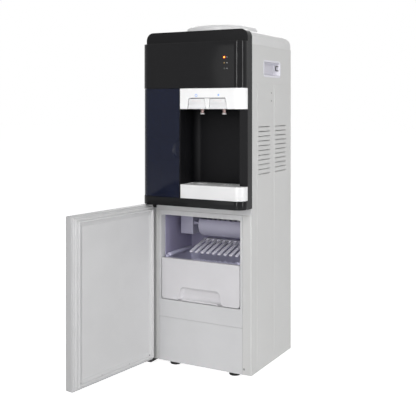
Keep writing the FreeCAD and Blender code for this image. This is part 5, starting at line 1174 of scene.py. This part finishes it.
    def nozzles(self) -> None:
        """Metal spouts, each with a pale ring at its mouth."""
        low = self.panel[0]
        sleeve = Outline(((4.0, low - 11.0), (6.3, low - 11.0), (6.3, low - 9.0), (5.6, low - 8.0), (5.6, low - 5.0),
                          (6.5, low - 4.0), (6.5, low - 0.2), (4.0, low - 0.2)),
                         (0.3, 0.5, 0.5, 0.5, 0.5, 0.5, 0.3, 0.3))
        tip = Outline(((4.0, low - 15.0), (6.2, low - 15.0), (6.5, low - 11.0), (4.0, low - 11.0)),
                      (0.4, 0.8, 0.3, 0.3))
        places = [(x, self.tap_y, 0.0) for x in self.taps]
        self.shop.make("spout_sleeves", [wound(sleeve, place, 2, 40) for place in places], "nozzle_chrome",
                       ["tap_nozzles"])
        self.shop.make("spout_tips", [wound(tip, place, 2, 40) for place in places], "spout_white", ["tap_nozzles"],
                       replace=False)

    def lining(self) -> None:
        """The alcove's round-cornered wall with its floor and its ceiling, and the edge beside the cup door."""
        left, right = self.alcove
        front, back, low, high = -164.0, self.alcove_back, self.strip[1], self.panel[0]
        wall = Outline((
            (left - 3, front), (left - 3, back + 3), (right + 3, back + 3), (right + 3, front), (right, front),
            (right, back), (left, back), (left, front),
        )[::-1], (0.3, 20.0, 20.0, 0.3, 0.3, 23.0, 23.0, 0.3), 12)
        outer = block((left - 3, right + 3), (front, back + 3), (0.3, 0.3, 23.0, 23.0), 12)
        holes = [Disc((x, self.tap_y), 8.5) for x in self.taps]
        skins = [slab(Plane.XY, wall, low + 3, high, 0.05), slab(Plane.XY, outer, low, low + 3, 0.2),
                 slab(Plane.XY, outer, high, high + 2, 0.2, holes),
                 slab(Plane.XY, block((left - 3, left), (self.pane_face, front), 0.6), low, high - 0.5, 0.3)]
        self.shop.make("alcove_wall", skins, "alcove_satin", ["alcove_liner"])

    def cup_side(self) -> None:
        """The bent tinted door with its finger dimple, and the cabinet and shelf behind it."""
        shop = self.shop
        (left, right), face, end, wall = self.pane, self.pane_face, self.pane_end, self.pane_wall
        bent = Outline(((left, end), (left, face), (right, face), (right, face + wall), (left + wall, face + wall),
                        (left + wall, end)), (0.8, 26.5, 0.8, 0.8, 23.5, 0.8), 18)
        radius, level = self.dimple
        dish = wound(Outline(((0.02, -1.0), (radius, -1.0), (radius, 0.0), (24.6, 2.2), (12.0, 2.5), (0.02, 2.5)),
                             (0.01, 0.1, 0.4, 1.0, 6.0, 0.01), 4), (right + 4, face, level), 1, 96)
        pane = slab(Plane.XY, bent, self.tray_low, self.panel[1] - 0.5, 0.7)
        shop.make("cup_door_pane", [pane], "smoked_blue", ["cup_door"], cutters=[dish], angle=40.0)
        shop.soften("cup_cabinet", "alcove_satin", 0.4)
        shop.soften("cup_shelf", "alcove_satin", 0.3)

    def tray(self) -> None:
        """The drip tray and the grille with oval slots that lies inside its rim."""
        shop, low, top, corner = self.shop, self.tray_low, self.tray_top, self.tray_corner
        left, right, back = self.alcove[0] + 1, self.alcove[1] - 1, self.alcove_back - 6

        def inside(inset: float) -> Outline:
            """The tray's hollow at an inset from its edges."""
            return block((left + inset, right - inset), (self.face + inset, back - inset),
                         (1.0, 1.0, corner - inset, corner - inset), 10)

        nose = block((left, self.half), (self.face, -167.5), (1.5, self.corner, 0.5, 0.5), 20)
        tub = block((left, right), (-169.0, back), (0.3, 0.3, corner, corner), 10)
        shop.make("drip_tray_body", [slab(Plane.XY, nose, low, top, 0.6), slab(Plane.XY, tub, low + 3.5, top, 0.5)],
                  "tray_plastic", ["drip_tray"], angle=40.0,
                  cutters=[slab(Plane.XY, inside(self.tray_wall), low + 6.5, top + 2, 0.5),
                           slab(Plane.XY, inside(self.tray_rim), top - 3.0, top + 3, 0.2)])
        slots = []
        for share in self.slot_shares:
            x = self.tap_middle + share * (self.alcove[1] - self.alcove[0])
            slots.append(block((x - self.slot_half, x + self.slot_half), self.slot_y, self.slot_half - 0.1, 6))
        plate = slab(Plane.XY, inside(self.tray_rim + 0.3), top - 2.7, top, 0.4, slots)
        shop.make("drip_grille_plate", [plate], "white_plastic", ["drip_grille"])


@dataclass
class IceBay:
    """Frame and lining of the bay, the ice maker, the slide and the bin.

    The opening is half its width, its low and its high edge, and so is the bin's panel. The grip is half its
    width at the foot and at the head, and their two levels.
    """

    shop: Workshop
    opening: tuple[float, float, float] = (130.0, 194.0, 443.0)
    frame_half: float = 137.0
    frame_z: tuple[float, float] = (143.0, 457.0)
    face: float = -143.0
    tray_axis: tuple[float, float] = (-43.0, 409.0)
    tray_x: tuple[float, float] = (-41.5, 124.5)
    tray_radius: float = 36.0
    ribs: int = 10
    rib_pitch: float = 19.0
    rib_right: float = 109.5
    rib_width: float = 9.0
    rib_thickness: float = 6.0
    rib_ends: tuple[tuple[float, float], tuple[float, float]] = ((-79.0, 324.0), (11.0, 348.0))
    rail_y: tuple[float, float] = (9.0, 36.0)
    rail_z: tuple[float, float] = (343.0, 355.0)
    gearbox_x: tuple[float, float] = (-115.0, -72.7)
    gearbox_y: tuple[float, float] = (-55.0, 36.0)
    gearbox_z: tuple[float, float] = (375.0, 448.0)
    bin_rim: tuple[float, float] = (113.5, 126.6)
    bin_rim_z: tuple[float, float] = (314.5, 326.0)
    bin_panel: tuple[float, float, float] = (128.0, 196.0, 316.0)
    grip: tuple[float, float, float, float] = (70.0, 63.0, 201.0, 236.0)

    def build(self) -> None:
        """Make every piece of the bay."""
        shop = self.shop
        half, low, high = self.opening
        frame = slab(Plane.XZ, block((-self.frame_half, self.frame_half), self.frame_z, 0.8), self.face, -119.0, 0.3,
                     [block((-half, half), (low, high), 5.0)], low_edge=0.3)
        shop.make("bay_frame", [frame], "frame_plastic", ["front_frame"])
        shop.soften("ice_liner", "lining_plastic", 0.0)
        self.maker()
        self.slide()
        self.bin()

    def maker(self) -> None:
        """Water tray, gearbox and the evaporator above them."""
        shop, (y, z), (left, right) = self.shop, self.tray_axis, self.tray_x
        outer, inner = self.tray_radius, self.tray_radius - 2.5
        tub = Outline(((inner, left + 3), (inner, right - 3), (0.5, right - 3), (0.5, right), (outer, right),
                       (outer, right - 4), (outer - 1, right - 5), (outer - 1, left + 7), (outer, left + 6),
                       (outer, left), (0.5, left), (0.5, left + 3)),
                      (1.5, 1.5, 0.2, 0.2, 2.0, 0.6, 0.6, 0.6, 0.6, 3.0, 0.2, 0.2), 4)
        mouth = slab(Plane.YZ, Outline(((y, z), (y + 38, z), (y + 38, z + 38), (y - 38, z + 38), (y - 38, z + 21.6)),
                                       (0.3,) * 5, 1), left + 3, right - 3, 0.1)
        pins = [wound(block((0.1, 4.0), (a, b), (0.02, 0.4, 0.4, 0.02)), (0.0, y, z), 0, 32)
                for a, b in ((left - 32.2, left + 0.5), (right - 0.5, right + 3.5))]
        # The drum, its pins and the gearbox take the darkened plastic: painted shade of the frame's shadow.
        shop.make("water_tray_drum", [wound(tub, (0.0, y, z), 0, 96)], "shade_darkened_drum_plastic", ["water_tray"],
                  cutters=[mouth], angle=40.0)
        shop.make("water_tray_pins", pins, "shade_darkened_drum_plastic", ["water_tray"], replace=False)
        case = slab(Plane.YZ, block(self.gearbox_y, self.gearbox_z, 3.0), *self.gearbox_x, 2.0)
        boss = wound(Outline(((4.1, -73.0), (7.0, -73.0), (6.5, -70.0), (4.1, -70.0)), (0.2, 0.2, 1.0, 0.3)),
                     (0.0, y, z), 0, 40)
        shop.make("gearbox_case", [case, boss], "shade_darkened_drum_plastic", ["ice_gearbox"], angle=40.0)
        shop.dress("aluminium", "evaporator")

    def slide(self) -> None:
        """Round-edged ribs that climb to the rail on the back wall."""
        low, high = np.array(self.rib_ends)
        ahead = unit(high - low)
        up = np.array((-ahead[1], ahead[0])) * self.rib_thickness
        high = high + ahead * 4.0
        rib = Outline(tuple(map(tuple, (low, high, high + up, low + up))), (2.9, 2.9, 2.9, 2.9), 5)
        skins = []
        for k in range(self.ribs):
            right = self.rib_right - k * self.rib_pitch
            skins.append(slab(Plane.YZ, rib, right - self.rib_width - 0.8, right + 0.8, 2.2))
        left = self.rib_right - (self.ribs - 1) * self.rib_pitch - self.rib_width
        skins.append(slab(Plane.YZ, block(self.rail_y, self.rail_z, 2.0), left, 128.5, 0.5))
        self.shop.make("slide_ribs", skins, "rib_plastic", ["ice_slide"], angle=50.0)

    def bin(self) -> None:
        """The bin with round rims on its side walls, and its front with the hand grip."""
        shop = self.shop
        shop.soften("ice_bin", "bin_plastic", 0.8)
        rims = []
        for way in (-1, 1):
            edge = sorted(way * x for x in self.bin_rim)
            rims.append(slab(Plane.XZ, block(edge, self.bin_rim_z, 4.5, 6), -117.0, 20.6, 4.5))
        shop.make("bin_rims", rims, "bin_plastic", ["ice_bin"], replace=False, angle=50.0)
        half, low, high = self.bin_panel
        panel = slab(Plane.XZ, block((-half, half), (low, high), (9.0, 9.0, 1.5, 1.5), 8), self.face, -129.0, 0.6,
                     low_edge=1.2)
        wide, narrow, foot, head = self.grip
        grip = Outline(((-wide, foot), (wide, foot), (narrow, head), (-narrow, head)), (2.0, 2.0, 13.0, 13.0), 8)
        slots = [slab(Plane.XZ, block((a, b), (197.6, 200.2), 1.0), -145.0, -135.0, 0.1)
                 for a, b in ((-74.0, -60.0), (56.0, 74.0))]
        shop.make("bin_front_panel", [panel], "front_plastic", ["ice_bin_front"],
                  cutters=[slab(Plane.XZ, grip, -146.0, -130.6, 9.0, low_edge=0.2), *slots], roll=0.8)


@dataclass
class LowerDoor:
    """The lower door in its closed place, turned open as one about its hinge line."""

    shop: Workshop
    x: tuple[float, float] = (-164.0, 164.0)
    z: tuple[float, float] = (16.0, 474.0)
    face: float = -183.0
    back: float = -159.0
    pad: float = 8.0
    pivot: tuple[float, float] = (-156.0, -164.8)
    turn: float = -97.0
    screws: tuple[tuple[float, float], ...] = ((-138.0, 36.0), (-50.0, 34.0), (60.0, 34.0), (140.0, 36.0))

    def swing(self, skin: Skin) -> Skin:
        """Turn a closed skin to where the door stands open."""
        angle = math.radians(self.turn)
        spin = np.array(((math.cos(angle), -math.sin(angle), 0), (math.sin(angle), math.cos(angle), 0), (0, 0, 1)))
        pivot = np.array((*self.pivot, 0.0))
        return moved(skin, lambda points: (points - pivot) @ spin.T + pivot)

    def build(self) -> None:
        """Make the shell, the liner, the gasket, their screws and the hinges."""
        shop, edge = self.shop, block(self.x, self.z, 3.0, 5)
        face, back, seat = self.face, self.back, self.back + self.pad
        shell = framed(Plane.XZ, edge, [(3.0, face), (2.7, face), (0.8, face + 0.8), (0.0, face + 2.7),
                                        (0.0, back - 1.0), (0.4, back - 0.2), (1.0, back), (2.2, back)])
        shop.make("door_casing", [self.swing(shell)], "door_paint", ["door_shell"], angle=50.0)
        liner = framed(Plane.XZ, edge, [
            (2.4, back - 1.5), (2.4, back - 0.2), (2.6, back + 0.2), (5.0, back + 0.2), (6.0, back + 0.4),
            (6.2, back + 1.5), (6.3, seat - 2.0), (6.8, seat - 0.6), (8.0, seat), (12.2, seat), (13.0, seat - 0.4),
            (27.6, seat - 0.4), (30.0, seat - 0.4), (34.0, seat - 0.4)])
        shop.make("door_inner_skin", [self.swing(liner)], "door_plastic", ["door_liner"], angle=50.0)
        gasket = framed(Plane.XZ, edge, [
            (12.6, seat - 0.8), (12.6, seat + 4.0), (13.0, seat + 6.4), (14.4, seat + 7.1), (16.6, seat + 7.1),
            (17.8, seat + 6.4), (18.2, seat + 4.0), (18.4, seat + 1.2), (19.2, seat + 0.6), (26.8, seat + 0.5),
            (27.6, seat + 0.1), (27.8, seat - 0.8)], True)
        shop.make("door_seal", [self.swing(gasket)], "seal_rubber", ["door_gasket"], angle=60.0)
        heads = [wound(Outline(((0.05, 0.0), (2.6, 0.0), (2.2, 1.2), (0.05, 1.4)), (0.02, 0.2, 0.6, 0.02)),
                       (x, seat - 0.2, z), 1, 20) for x, z in self.screws]
        shop.make("door_screws", [self.swing(head) for head in heads], "screw_steel", ["door_liner"], replace=False)
        shop.dress("insulation", "door_core")
        shop.soften("door_hinges", "dark_steel", 0.4)


@dataclass
class Inside:
    """What only shows through openings, and the fittings on the back."""

    shop: Workshop

    def build(self) -> None:
        """Dress the nodes that keep their shape and soften the fittings."""
        shop = self.shop
        for look, nodes in (
                ("bare_steel", ("cold_tank", "hot_tank")), ("screw_steel", ("pivot_pins",)),
                ("dark_steel", ("compressor",)), ("foot_rubber", ("compressor_grommets",)),
                ("insulation", ("foam_insulation",)), ("copper", ("refrigerant_lines",)),
                ("aluminium", ("condenser",)), ("hose_plastic", ("water_hoses",)),
                ("board_green", ("circuit_boards",)),
                ("dark_satin", ("fan_housing", "fan_blade", "tap_valves", "water_pump"))):
            shop.dress(look, *nodes)
        for look, edge, nodes in (("white_plastic", 0.5, ("drain_spigot", "drain_cap")),
                                  ("switch_plastic", 0.4, ("rear_electrics", "rocker_switch_1", "rocker_switch_2"))):
            for node in nodes:
                shop.soften(node, look, edge)


def main() -> None:
    """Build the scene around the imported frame."""
    logging.basicConfig(level=logging.INFO, format="%(name)s: %(message)s")
    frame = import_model()
    bpy.context.scene.view_settings.view_transform = "Standard"
    Studio().build()
    shop = Workshop(frame)
    for assembly in (Casing, DarkFront, IceBay, LowerDoor, Inside):
        LOG.info("building %s", assembly.__name__)
        assembly(shop).build()


if __name__ == "__main__":
    main()
